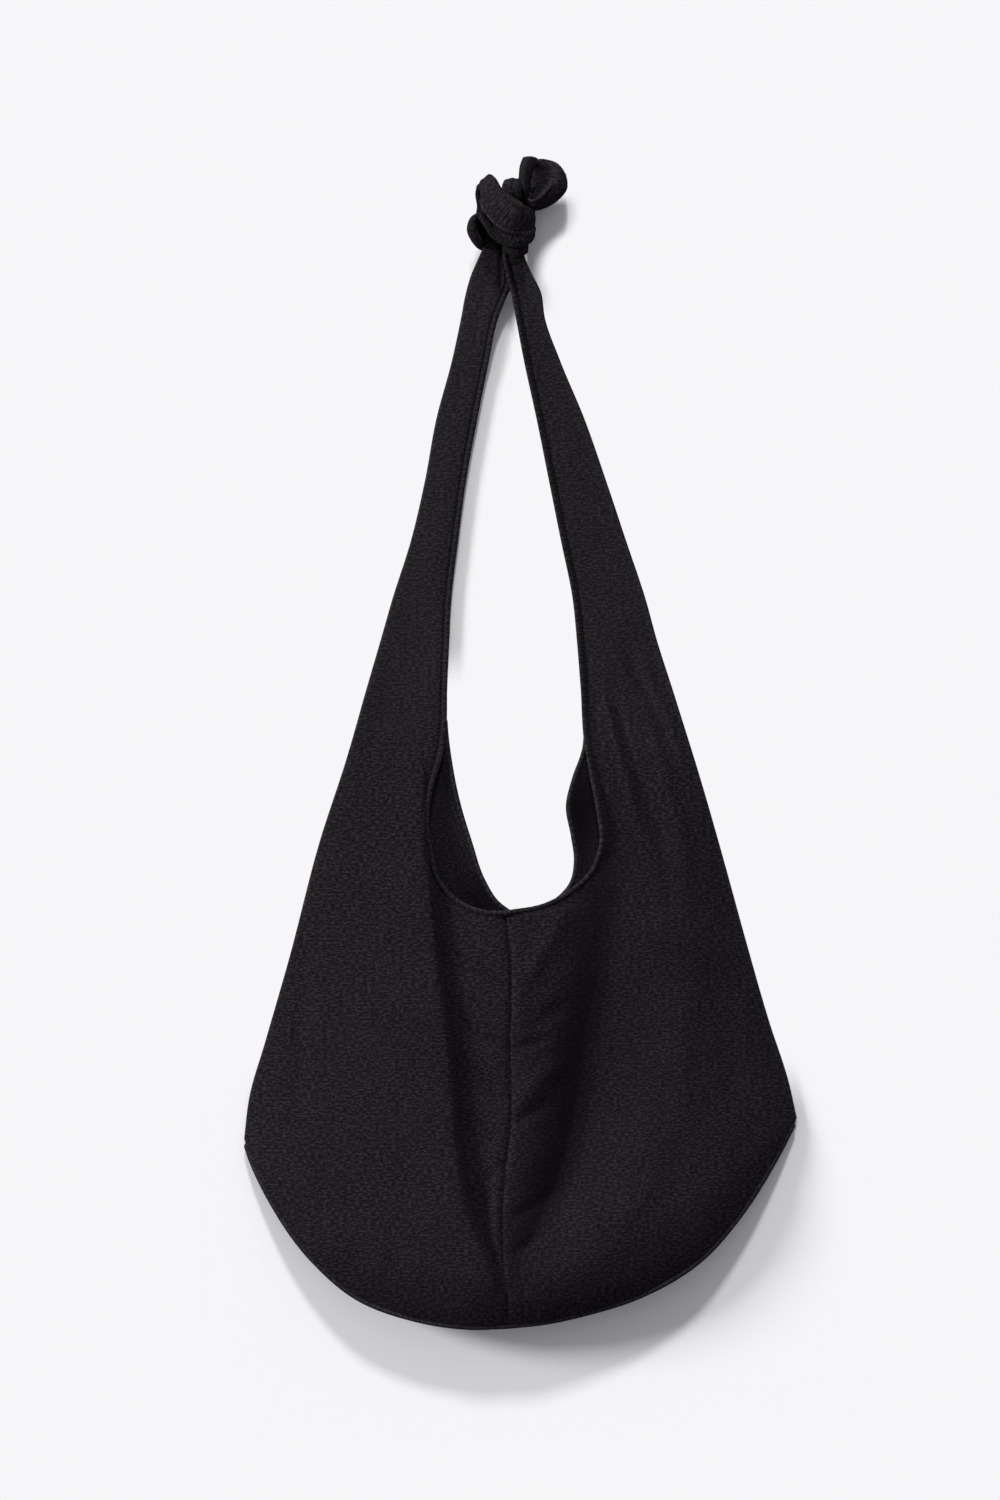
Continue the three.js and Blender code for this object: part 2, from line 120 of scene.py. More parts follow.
def rounded(value, power):
    return np.sign(value) * np.abs(value) ** power


def unit(vectors):
    return vectors / np.maximum(np.linalg.norm(vectors, axis=-1, keepdims=True), 1e-12)


def slowNoise(points, scale, seed):
    shift = Vector((seed, noiseSpread * seed, -seed))
    return np.array([noise.noise(Vector(p) * scale + shift) for p in points])


def shapedGrid(across, along, shape, closed=False):
    # a grid whose shares of 0..1 go to shape(), which gives places, cloth u and v, and a value per point:
    # edge wear, painted shade and painted highlights on cloth, and on the backdrop where it is there
    bm = bmesh.new()
    bmesh.ops.create_grid(bm, x_segments=across, y_segments=along, size=0.5)
    shares = np.array([(v.co.x + 0.5, v.co.y + 0.5) for v in bm.verts])
    places, cloth, wearShadingMask = shape(shares[:, 0], shares[:, 1])
    uvLayer = bm.loops.layers.uv.new("cloth")
    wearShadingLayer = bm.verts.layers.float.new("wearShadingMask")
    for v, place, toned in zip(bm.verts, places.tolist(), wearShadingMask.tolist()):
        v.co = place
        v[wearShadingLayer] = toned
    cloth = cloth.tolist()
    bm.verts.index_update()
    for face in bm.faces:
        for loop in face.loops:
            loop[uvLayer].uv = cloth[loop.vert.index]
    if closed:
        bmesh.ops.remove_doubles(bm, verts=bm.verts, dist=mergeWithin)
    return bm


def newPiece(name, bm, material):
    mesh = bpy.data.meshes.new(name)
    bm.to_mesh(mesh)
    bm.free()
    mesh.polygons.foreach_set("use_smooth", [True] * len(mesh.polygons))
    piece = bpy.data.objects.new(name, mesh)
    bpy.context.scene.collection.objects.link(piece)
    piece.data.materials.append(material)
    return piece


# shader helpers
def addNode(tree, kind, inputs=None, **settings):
    made = tree.nodes.new("ShaderNode" + kind)
    for key, value in settings.items():
        setattr(made, key, value)
    for key, value in (inputs or {}).items():
        if isinstance(value, bpy.types.NodeSocket):
            tree.links.new(value, made.inputs[key])
        else:
            made.inputs[key].default_value = value
    return made


def newGroup(name, inputs, outputs):
    group = bpy.data.node_groups.new(name, "ShaderNodeTree")
    for way, sockets in (("INPUT", inputs), ("OUTPUT", outputs)):
        for label, kind in sockets.items():
            group.interface.new_socket(label, in_out=way, socket_type="NodeSocket" + kind)
    return group, group.nodes.new("NodeGroupInput"), group.nodes.new("NodeGroupOutput")


def math2(tree, operation, first, second=0.0):
    return addNode(tree, "Math", {0: first, 1: second}, operation=operation).outputs[0]


# plain weave: warp and weft take turns on top, with thick places in the weft
weaveForm = {"threadShare": 0.45, "slubStretch": (1.0, 2.0, 1.0), "slubDetail": 3.0, "slubRough": 0.6,
             "slubFrom": 0.44, "slubTo": 0.61}


def weaveGroup():
    group, given, put = newGroup(
        "canvasWeave", {"Cloth": "Vector", "Threads": "Float", "Slub scale": "Float"},
        {"Height": "Float", "Slubs": "Float"})
    cloth, threads = given.outputs["Cloth"], given.outputs["Threads"]
    split = addNode(group, "SeparateXYZ", {0: cloth})
    turns = math2(group, "MULTIPLY", threads, math.pi)
    rounds = []
    for axis in ("X", "Y"):
        wave = math2(group, "SINE", math2(group, "MULTIPLY", split.outputs[axis], turns))
        rounds.append(math2(group, "ABSOLUTE", wave))
    over = addNode(group, "TexChecker", {"Vector": cloth, "Scale": threads}).outputs["Fac"]
    woven = addNode(group, "Mix", {0: over, 2: rounds[0], 3: rounds[1]}, data_type="FLOAT").outputs[0]
    stretched = addNode(group, "VectorMath", {0: cloth, 1: weaveForm["slubStretch"]},
                        operation="MULTIPLY").outputs[0]
    grain = addNode(group, "TexNoise",
                    {"Vector": stretched, "Scale": given.outputs["Slub scale"],
                     "Detail": weaveForm["slubDetail"], "Roughness": weaveForm["slubRough"]}).outputs["Fac"]
    slubs = addNode(group, "MapRange",
                    {0: grain, 1: weaveForm["slubFrom"], 2: weaveForm["slubTo"]}).outputs[0]
    height = math2(group, "ADD", math2(group, "MULTIPLY", woven, weaveForm["threadShare"]), slubs)
    group.links.new(slubs, put.inputs["Slubs"])
    group.links.new(height, put.inputs["Height"])
    return group


# slow uneven dye, and a rubbed tone along worn edges that also serves as painted highlights; a value below 0
# is painted shade, which keeps the dye from fading and so darkens it
fadeForm = {"patchScale": 22.0, "patchDetail": 4.0, "patchRough": 0.62, "patchShare": 0.28, "slubShare": 0.72,
            "rubbedandlitSlubs": 0.7, "rubbedandlitEven": 0.3, "roughDyed": 0.97, "roughFaded": 0.84}


def dyeWearShadingGroup():
    group, given, put = newGroup(
        "dyeWearAndPaintedShading", {"Place": "Vector", "Dye": "Color", "Faded": "Color", "Rubbedandlit": "Color", "Slubs": "Float",
                     "WearShadingMask": "Float"},
        {"Colour": "Color", "Roughness": "Float"})
    slubs, wearShadingMask = given.outputs["Slubs"], given.outputs["WearShadingMask"]
    patches = addNode(group, "TexNoise",
                      {"Vector": given.outputs["Place"], "Scale": fadeForm["patchScale"],
                       "Detail": fadeForm["patchDetail"], "Roughness": fadeForm["patchRough"]}).outputs["Fac"]
    amount = math2(group, "ADD", math2(group, "MULTIPLY", slubs, fadeForm["slubShare"]),
                   math2(group, "MULTIPLY", patches, fadeForm["patchShare"]))
    # painted shade: values below 0 hold back the fading and so darken the cloth
    paintedShade = math2(group, "MAXIMUM", math2(group, "MULTIPLY", wearShadingMask, -1.0), 0.0)
    amount = math2(group, "MULTIPLY", amount, math2(group, "SUBTRACT", 1.0, paintedShade))
    faded = addNode(group, "Mix", {0: amount, 6: given.outputs["Dye"], 7: given.outputs["Faded"]},
                    data_type="RGBA").outputs[2]
    # the rubbed tone: worn edges, and painted highlights on the welt and the back hem
    uneven = math2(group, "ADD", math2(group, "MULTIPLY", slubs, fadeForm["rubbedandlitSlubs"]), fadeForm["rubbedandlitEven"])
    towardRubbedandlit = math2(group, "MULTIPLY", math2(group, "MAXIMUM", wearShadingMask, 0.0), uneven)
    toned = addNode(group, "Mix", {0: towardRubbedandlit, 6: faded, 7: given.outputs["Rubbedandlit"]},
                   data_type="RGBA").outputs[2]
    rough = addNode(group, "MapRange", {0: amount, 3: fadeForm["roughDyed"], 4: fadeForm["roughFaded"]})
    group.links.new(toned, put.inputs["Colour"])
    group.links.new(rough.outputs[0], put.inputs["Roughness"])
    return group


weave = weaveGroup()
dyeWearShading = dyeWearShadingGroup()

# the rubbedandlit tone is that of worn edges, and also serves as painted highlights on the welt and the back
# hem
finishes = {
    "blackCanvas": {"dye": (0.0046, 0.0037, 0.0048), "faded": (0.0306, 0.0263, 0.0308),
                    "rubbedandlit": (0.036, 0.032, 0.036), "threads": 800, "slubScale": 310, "bump": 0.7,
                    "deep": 0.5 * mm, "sheen": 0.012, "specular": 0.0},
    "darkLining": {"dye": (0.0040, 0.0033, 0.0042), "faded": (0.0290, 0.0242, 0.0293),
                   "rubbedandlit": (0.020, 0.017, 0.021), "threads": 1300, "slubScale": 420, "bump": 0.4,
                   "deep": 0.3 * mm, "sheen": 0.005, "specular": 0.0},
    "blackThread": {"dye": (0.012, 0.0105, 0.0124), "faded": (0.045, 0.040, 0.045),
                    "rubbedandlit": (0.05, 0.046, 0.05), "threads": 1900, "slubScale": 900, "bump": 0.4,
                    "deep": 0.15 * mm, "sheen": 0.02, "specular": 0.12},
}
sheenRoughness = 0.6


def clothMaterial(name):
    form = finishes[name]
    material = bpy.data.materials.new(name)
    material.use_nodes = True
    tree = material.node_tree
    cloth = addNode(tree, "UVMap", uv_map="cloth").outputs[0]
    place = addNode(tree, "TexCoord").outputs["Object"]
    # wear, painted shade and painted highlights, one value a point
    toned = addNode(tree, "Attribute", attribute_name="wearShadingMask").outputs["Fac"]
    threads = addNode(tree, "Group", node_tree=weave,
                      inputs={"Cloth": cloth, "Threads": form["threads"], "Slub scale": form["slubScale"]})
    tones = {label: (*form[label.lower()], 1) for label in ("Dye", "Faded", "Rubbedandlit")}
    dye = addNode(tree, "Group", node_tree=dyeWearShading,
                  inputs={"Place": place, "Slubs": threads.outputs["Slubs"], "WearShadingMask": toned, **tones})
    bump = addNode(tree, "Bump", {"Strength": form["bump"], "Distance": form["deep"],
                                  "Height": threads.outputs["Height"]})
    shader = tree.nodes["Principled BSDF"]
    tree.links.new(dye.outputs["Colour"], shader.inputs["Base Color"])
    tree.links.new(dye.outputs["Roughness"], shader.inputs["Roughness"])
    tree.links.new(bump.outputs[0], shader.inputs["Normal"])
    shader.inputs["Sheen Weight"].default_value = form["sheen"]
    shader.inputs["Sheen Roughness"].default_value = sheenRoughness
    shader.inputs["Specular IOR Level"].default_value = form["specular"]
    return material


canvas = clothMaterial("blackCanvas")
lining = clothMaterial("darkLining")
thread = clothMaterial("blackThread")
print("materials made")

# how full and how thick the bag hangs; rows are shares of its rise from the bottom seam to the strap root
body = {
    "rootRise": 0.66,  # share of all rows that lie below the strap root
    "mouthRow": 0.58,  # the lowest point of the mouth
    "frontBelly": 38 * mm,
    "seamForward": 26 * mm,  # the middle of the bottom seam stands this far out in front of its corners
    "forwardRow": 0.36,
    "roundRow": 0.36,
    "lowFull": 0.56,  # how full the bag is just above where it turns under
    "slackRow": 0.42,
    "swellCurve": {"left": 1.2, "right": 1.9},
    "underCurve": (1.7, 0.85),
    "turn": 0.6,  # share of a half's breadth at its side fold
    "foldRadius": 2.0 * mm,
    "edgeHalf": 1.3 * mm,  # half of what is sewn together at an edge
    "sewnLow": (0.0, 0.02),
    "sewnTop": (0.78, 0.92),
    "pressedOver": 11 * mm,
    "seamDip": 3.0 * mm,
    "seamReach": 2.0 * mm,
    "seamFade": 0.05,
    "ditchIn": 3.9 * mm,  # the topstitching sinks into the cloth this far in from an edge
    "ditchHalf": 0.8 * mm,
    "ditchDeep": 0.8 * mm,
    "ditchFade": 0.02,
    # painted shade in the topstitch ditch
    "ditchPaintedShade": 0.65,
    "heldRows": (0.13, 0.24),  # this far above the mouth's lowest row the right edge is held out of the dip
    "heldOver": 6 * mm,
    "topBack": {"left": 4 * mm, "right": -1.5 * mm},  # one strap passes behind the other under the knot
    "topShares": (0.72, 0.9),  # where it does, as shares of the strap
    "insetCurve": 12,
    "backWeave": 1.37,  # the back's weave starts this far along
}

# outlines of the two halves, in photo pixels, each from its lower end up
halves = {
    "left": {
        "fold": [(244, 1138), (249, 1098), (265.5, 1040), (288.5, 960), (320, 840), (346, 760), (366, 690)],
        "bottom": [(508, 1327), (470, 1328), (411, 1319), (358, 1299), (312, 1260), (270, 1200), (251, 1160),
                   (244, 1138)],
        "frontMouth": [(505, 912), (484, 911), (461, 902), (443, 884), (431, 854), (427, 818), (432, 788),
                       (441, 757), (445, 730), (446, 690)],
        "backMouth": [(511, 912), (498, 902), (484, 880), (471, 842), (459, 802), (451, 762), (447, 730),
                      (446, 690)],
        "strapInner": [(446, 690), (448, 640), (450, 600), (457, 540), (465, 480), (476, 420), (488, 360),
                       (497, 318), (504, 300), (510, 285), (509, 264), (505, 246), (501, 228)],
        "strapOuter": [(366, 690), (380, 642), (392, 600), (411, 540), (425, 480), (436, 420), (452, 360),
                       (461, 318), (466, 292), (471, 275), (478, 259), (484, 245), (487, 228)],
    },
    "right": {
        "fold": [(797, 1118), (789, 1082), (769, 1020), (746, 940), (724, 860), (701, 780), (673, 690)],
        "bottom": [
            (508, 1327), (545, 1323), (590, 1313), (637, 1298), (703, 1258.5), (738, 1219), (775.5, 1160),
            (797, 1118),
        ],
        "frontMouth": [(505, 912), (543, 905), (572, 889), (592, 869), (601, 842), (598, 812), (591, 776),
                       (585, 740), (582, 690)],
        "backMouth": [(511, 912), (552, 902), (571, 882), (575, 860), (572, 836), (567, 806), (573, 779),
                      (583, 750), (582, 690)],
        "strapInner": [(582, 690), (578, 640), (574, 600), (562, 540), (550, 480), (538, 420), (525, 360),
                       (517, 318), (512, 292), (506, 268), (502, 246)],
        "strapOuter": [(673, 690), (657, 640), (646, 600), (626, 540), (606, 480), (585, 420), (560, 360),
                       (545, 318), (541, 292), (531, 272), (522, 250)],
    },
}
frontSeam = [
    (505, 912), (510, 950), (511, 990), (510, 1046), (511, 1090), (510, 1130), (505, 1171), (502, 1215),
    (503, 1250), (507, 1290), (508, 1327),
]
backSeam = [(511, 912), (510, 1050), (507, 1200), (508, 1327)]

# the front's collapsed middle: pixel lines of its valleys on both sides of the seam
folds = {
    "leftValley": [(428, 850), (435, 900), (440, 960), (445, 1000), (452, 1050), (456, 1100), (460, 1150),
                   (468, 1200), (482, 1240), (492, 1262), (500, 1285)],
    "rightValley": [
        (606, 780), (609, 850), (608, 890), (604, 920), (598, 980), (588, 1020), (582, 1060), (576, 1100),
        (568, 1140), (560, 1170), (551, 1195), (537, 1225), (523, 1255), (512, 1285),
    ],
    # pixel y, then how deep in mm the left valley, the seam and the right valley lie there
    "depths": [(750, 0, 0, 0), (790, 3, 0, 2), (850, 9, 8, 7), (912, 11, 10, 15), (985, 11, 12, 19),
               (1060, 11, 14, 23), (1130, 12, 13, 24), (1190, 13, 10, 21), (1230, 12, 6, 12), (1260, 8, 3, 5),
               (1285, 3, 0, 2), (1300, 0, 0, 0)],
    # pixel y, then the breadth in pixels of the right valley's floor and of the rise to the right lobe
    "rise": [(780, 4, 60), (920, 8, 76), (985, 10, 92), (1070, 14, 92), (1115, 16, 88), (1160, 16, 84),
             (1200, 14, 80), (1240, 8, 76), (1300, 4, 60)],
    "wall": 7,  # pixels across a steep foot
    "leastGap": 4,
    "seamFrom": 0.2,  # share of the way from the left valley where the cloth starts to rise to the seam
    "rightCurve": 1.8,
    # the left lobe leans over its valley: share, pixels off the line and breadth, outwards and then back
    "leanOut": (0.7, -5, 7),
    "leanBack": (0.5, 8, 8),
    "leanDepth": 14 * mm,
    "overhang": 4 * mm,
    # painted shade along each valley, drawn as dye that has faded less: share, pixels off its line, breadth
    # in pixels
    "paintedShade": {"left": (0.38, 4, 13), "right": (0.78, -11, 27)},
    "paintedShadeCurve": 0.4,
    "paintedShadeOnRise": (0.2, -20, 10, 60, 140),  # the same on the rise: share, then where it comes and where it goes
}

# where the front turns under towards the bottom seam, in pixels
underLine = [
    (244, 1136), (284, 1176), (330, 1222), (366, 1244), (410, 1258), (457, 1272), (502, 1274),
    (545, 1270), (584, 1260), (615, 1245), (639, 1229), (684, 1199), (739, 1160), (780, 1130),
    (797, 1116),
]

# single creases: start and end pixel, half width in pixels, depth in mm, less than 0 stands out
creases = [
    # puckers that run down to the seam from the left, then from the right
    ((464, 918), (479, 943), 4, 2.6), ((458, 950), (468, 980), 4.5, 2.4),
    ((484, 972), (507, 994), 5, 3.4), ((459, 1019), (487, 1043), 6, 3.2),
    ((490, 1038), (510, 1052), 4.5, 3.0), ((477, 1070), (503, 1107), 5, 3.6),
    ((489, 1137), (508, 1153), 5, 3.0), ((507, 1160), (486, 1180), 5, 2.8),
    ((486, 1180), (485, 1222), 6, 3.6), ((563, 918), (526, 982), 10, -4.4),
    ((564, 1004), (534, 1029), 8, 3.4), ((550, 1037), (512, 1051), 4, 4.2),
    ((557, 1064), (518, 1106), 10, -4.2), ((549, 1103), (516, 1123), 6, 3.2),
    ((553, 1194), (511, 1219), 5, 3.6), ((541, 1235), (513, 1255), 5, 2.6),
    # the right lobe: a crest along its lit side and a hollow towards its fold
    ((690, 985), (664, 1075), 16, -1.4), ((660, 1080), (630, 1170), 16, -1.6),
    ((662, 1075), (672, 1170), 9, 1.6), ((727, 980), (732, 1110), 13, 1.8),
    ((700, 1110), (712, 1180), 12, 1.6),
    # wrinkles that fan out of the right strap
    ((605, 702), (638, 822), 4.5, -4.2), ((615, 700), (648, 812), 5, 3.6),
    ((598, 665), (628, 712), 6, -2.6), ((628, 655), (668, 745), 5, 4.0),
    ((640, 655), (678, 738), 5, -4.0), ((642, 760), (672, 880), 7, 3.2),
    ((655, 740), (688, 850), 7, -3.2), ((593, 690), (602, 790), 4, 1.6),
    ((655, 820), (672, 905), 10, 1.6),
    # the straps just under the knot
    ((501, 252), (501, 292), 3, 1.8), ((492, 262), (474, 330), 4, 0.9), ((521, 262), (536, 330), 4, 1.0),
    # the left lobe
    ((303, 955), (298, 1115), 11, 3.0), ((345, 1205), (372, 1262), 13, 2.6),
    ((392, 1225), (398, 1275), 10, 2.0), ((318, 1165), (330, 1225), 9, 1.4),
    ((400, 930), (396, 962), 6, 0.9),
]
creaseForm = {"share": 0.6, "comes": (-0.25, 0.2), "goes": (0.8, 1.25)}


def creaseDepth(pixels):
    dip = np.zeros(len(pixels))
    for start, end, width, depth in creases:
        a, b = np.array(start, float), np.array(end, float)
        length = np.linalg.norm(b - a)
        along = ((pixels - a) @ (b - a)) / length**2
        away = np.abs((pixels - a) @ np.array([-(b - a)[1], (b - a)[0]])) / length
        ends = between(along, *creaseForm["comes"], *creaseForm["goes"])
        dip += creaseForm["share"] * depth * mm * hump(away, 0, width) * ends
    return dip


leftValley = downLine(folds["leftValley"])
rightValley = downLine(folds["rightValley"])
seamLine = downLine(frontSeam)


def frontFolds(pixels):
    # how far the front dips, and how far its left lobe leans over the dip, at these pixels
    px, py = pixels[:, 0], pixels[:, 1]
    left, seam, right = leftValley(py), seamLine(py), rightValley(py)
    rows, *columns = np.array(folds["depths"], float).T
    deepLeft, deepSeam, deepRight = (np.interp(py, rows, column) * mm for column in columns)
    toSeam = np.clip((px - left) / np.maximum(seam - left, folds["leastGap"]), 0, 1)
    toRight = np.clip((px - seam) / np.maximum(right - seam, folds["leastGap"]), 0, 1)
    middle = np.where(px < seam, deepLeft + (deepSeam - deepLeft) * ease(toSeam, folds["seamFrom"], 1),
                      deepSeam + (deepRight - deepSeam) * toRight ** folds["rightCurve"])
    fromLeft, fromRight = px - left, px - right
    rows, *columns = np.array(folds["rise"], float).T
    floor, reach = (np.interp(py, rows, column) for column in columns)
    climbed = np.clip((fromRight - floor) / reach, 0, 1)
    climbed = (climbed + ease(climbed, 0, 1)) / 2
    dip = middle * ease(fromLeft, -folds["wall"], 0) * (1 - climbed)
    out, *outAt = folds["leanOut"]
    back, *backAt = folds["leanBack"]
    lean = out * (hump(fromLeft, *outAt) - back * hump(fromLeft, *backAt)) * deepLeft / folds["leanDepth"]
    return dip, lean * folds["overhang"]


def paintedFoldShade(pixels):
    # painted shade in the valleys and on the rise to the right lobe, drawn as dye that has faded less
    px, py = pixels[:, 0], pixels[:, 1]
    table = np.array(folds["depths"], float).T
    deep = {name: (np.interp(py, table[0], depths) / depths.max()) ** folds["paintedShadeCurve"]
            for name, depths in (("left", table[1]), ("right", table[3]))}
    share, *shares = folds["paintedShadeOnRise"]
    paintedShade = share * deep["right"] * between(px - rightValley(py), *shares)
    for name, line in (("left", leftValley), ("right", rightValley)):
        share, off, breadth = folds["paintedShade"][name]
        paintedShade = np.maximum(paintedShade, share * deep[name] * hump(px - line(py), off, breadth))
    return paintedShade


lines = {name: {key: lineThrough(points) for key, points in form.items()} for name, form in halves.items()}
seams = {"front": lineThrough(frontSeam[::-1]), "back": lineThrough(backSeam[::-1])}
bottomLine = halves["left"]["bottom"][:0:-1] + halves["right"]["bottom"]


def fullness(up):
    low = body["lowFull"] + (1 - body["lowFull"]) * ease(up, 0, body["roundRow"])
    return low * (1 - ease(up, body["slackRow"], 1.0))


def turnedUnder(pixels):
    # what is left of the bag's depth below the line where it turns under
    under, bottom = (np.interp(pixels[:, 0], *np.array(line, float).T) for line in (underLine, bottomLine))
    share = np.clip((pixels[:, 1] - under) / np.maximum(bottom - under, 1), 0, 1)
    fall, roundness = body["underCurve"]
    return (1 - share**fall) ** roundness


def stitchDitch(inside, up):
    # 1 along the topstitching beside the mouth and the straps' inner edges, 0 away from it
    beside = hump(inside, body["ditchIn"], body["ditchHalf"])
    return beside * ease(up - body["mouthRow"], 0, body["ditchFade"])


def clothPoint(half, face, u, rise, inset=0.0):
    # u 0..1 from the inner edge to the side fold, rise 0..1 from the bottom seam up to the knot
    line = lines[half]
    side = -1 if half == "left" else 1
    mouthRow = body["mouthRow"]
    up = np.clip(rise / body["rootRise"], 0, 1)
    strap = np.clip((rise - body["rootRise"]) / (1 - body["rootRise"]), 0, 1)
    onStrap = (strap > 0)[:, None]
    onMouth = (up > mouthRow)[:, None]
    mouth = line[face + "Mouth"]((up - mouthRow) / (1 - mouthRow))
    inner = np.where(onMouth, mouth, seams[face](up / mouthRow))
    inner = np.where(onStrap, line["strapInner"](strap), inner)
    outer = np.where(onStrap, line["strapOuter"](strap), line["fold"](up))
    bottom = line["bottom"](u)
    ends = line["bottom"](np.array([0.0, 1.0]))
    chord = (1 - u)[:, None] * ends[0] + u[:, None] * ends[1]
    flat = (1 - u)[:, None] * inner + u[:, None] * outer + (1 - up)[:, None] * (bottom - chord)
    width = np.linalg.norm(outer - inner, axis=1) * photo["pixel"]
    inside, toFold = u * width, (1 - u) * width
    # half thickness: round at the side fold, pressed where edges are sewn
    radius = body["foldRadius"] - inset
    edge = radius * np.sqrt(np.clip(1 - np.clip(1 - toFold / radius, 0, 1) ** 2, 0, 1))
    sewn = np.maximum(ease(up, *body["sewnTop"]), 1 - ease(up, *body["sewnLow"]))
    pressed = body["edgeHalf"] + (edge - body["edgeHalf"]) * ease(inside, 0, body["pressedOver"])
    edge = np.where(edge > body["edgeHalf"], edge * (1 - sewn) + pressed * sewn, edge)
    swell = (1 - np.abs(u) ** body["swellCurve"][half]) * fullness(up) * turnedUnder(flat)
    onSeam = (up < mouthRow) * ease(up, 0, body["seamFade"])
    sewnIn = body["seamDip"] * np.exp(-inside / body["seamReach"]) * onSeam
    sewnIn += body["ditchDeep"] * stitchDitch(inside, up)
    if face == "front":
        dip, lean = frontFolds(flat)
        if half == "right":
            held = ease(up - mouthRow, *body["heldRows"])
            dip = dip * (1 - held * (1 - ease(inside, 0, body["heldOver"])))
        dip = dip + creaseDepth(flat) + sewnIn
        depth = -(edge + body["frontBelly"] * swell) + dip + inset
        seen = flat + np.stack([lean / photo["pixel"], np.zeros(len(u))], axis=-1)
    else:
        depth = edge - sewnIn - inset
        seen = flat
    depth = depth + body["topBack"][half] * ease(strap, *body["topShares"])
    depth = depth - body["seamForward"] * (1 - u**2) * (1 - ease(up, 0, body["forwardRow"]))
    places = fromPhoto(seen, depth)
    places[:, 0] -= side * inset * u ** body["insetCurve"]
    cloth = flat * clothPixel + (0.0 if face == "front" else body["backWeave"])
    return places, cloth, width


# rows close up towards the bottom seam, where the bag rounds under, and columns towards the side fold
clothGrid = {"across": 176, "along": 268, "rowCurve": 1.3, "evenTo": 0.62, "evenRate": 0.74,
             "foldCurve": 1.55}


def bothFaces(half, share, rise, inset=0.0):
    # share 0 front edge, 1 back edge, with the side fold between them
    turn, evenTo, evenRate = body["turn"], clothGrid["evenTo"], clothGrid["evenRate"]
    onFront = share <= turn
    w = np.where(onFront, share / turn, (1 - share) / (1 - turn))
    toFold = (1 - evenTo * evenRate) * ((1 - w) / (1 - evenTo)) ** clothGrid["foldCurve"]
    u = np.where(w < evenTo, w * evenRate, 1 - toFold)
    places = np.zeros((len(share), 3))
    cloth = np.zeros((len(share), 2))
    width = np.zeros(len(share))
    for face, pick in (("front", onFront), ("back", ~onFront)):
        places[pick], cloth[pick], width[pick] = clothPoint(half, face, u[pick], rise[pick], inset)
    return places, cloth, u, width


def riseOf(share):
    low = body["rootRise"]
    return np.where(share < low, low * (share / low) ** clothGrid["rowCurve"], share)


# slow waves in the cloth, and where it is worn
waves = {"broad": 18, "broadSeed": {"left": 3.1, "right": 7.7}, "broadDeep": 1.3 * mm, "fine": 55,
         "fineSeed": 1.9, "fineDeep": 0.45 * mm, "backShare": 0.4, "fromEdges": (2 * mm, 20 * mm)}
clothWear = {"strap": {"left": 0.46, "right": 0.28}, "strapRises": (0.52, 0.70), "foldReach": 2.2 * mm}


def halfPiece(half):
    def shape(share, row):
        rise = riseOf(row)
        places, cloth, u, width = bothFaces(half, share, rise)
        onFront = share <= body["turn"]
        inside, toFold = u * width, (1 - u) * width
        drift = slowNoise(places, waves["broad"], waves["broadSeed"][half]) * waves["broadDeep"]
        drift += slowNoise(places, waves["fine"], waves["fineSeed"]) * waves["fineDeep"]
        drift *= np.where(onFront, 1.0, waves["backShare"])
        places[:, 1] += drift * ease(toFold, *waves["fromEdges"]) * ease(inside, *waves["fromEdges"])
        wearShadingMask = np.exp(-toFold / clothWear["foldReach"])
        wearShadingMask += clothWear["strap"][half] * ease(rise, *clothWear["strapRises"])
        # painted shade in the front's valleys and in the topstitch ditch goes in as values below 0
        paintedShade = paintedFoldShade(cloth / clothPixel) * onFront
        ditch = stitchDitch(inside, np.clip(rise / body["rootRise"], 0, 1))
        return places, cloth, np.clip(wearShadingMask, 0, 1) * (1 - ditch) - np.maximum(paintedShade, body["ditchPaintedShade"] * ditch)

    bm = shapedGrid(clothGrid["across"], clothGrid["along"], shape)
    if half == "right":
        bmesh.ops.reverse_faces(bm, faces=bm.faces)
    return newPiece(half + "_half", bm, canvas)


def areaOf(piece):
    return sum(face.area for face in piece.data.polygons)


halfPieces = {half: halfPiece(half) for half in ("left", "right")}
for half, piece in halfPieces.items():
    print(half, "half area", round(areaOf(piece), 4), "faces", len(piece.data.polygons))

# the lining: the rows that it spans, its gap to the canvas, the creasing of its back and the shade painted on
# it inside the mouth
liningForm = {
    "rows": (0.006, 0.955), "gap": 1.5 * mm, "across": 110, "along": 150,
    "stretch": (3.2, 1.0, 0.5), "scale": 30, "seed": 5.3, "deep": 1.2 * mm, "fromEdge": (3 * mm, 20 * mm),
    # painted shade inside the mouth, where it falls darkest: pixel x, y, breadth, height and how much
    "paintedShadeSpots": {"left": [(488, 896, 22, 24, 0.7), (452, 780, 14, 40, 0.35)],
             "right": [(580, 815, 20, 60, 0.95)]},
}


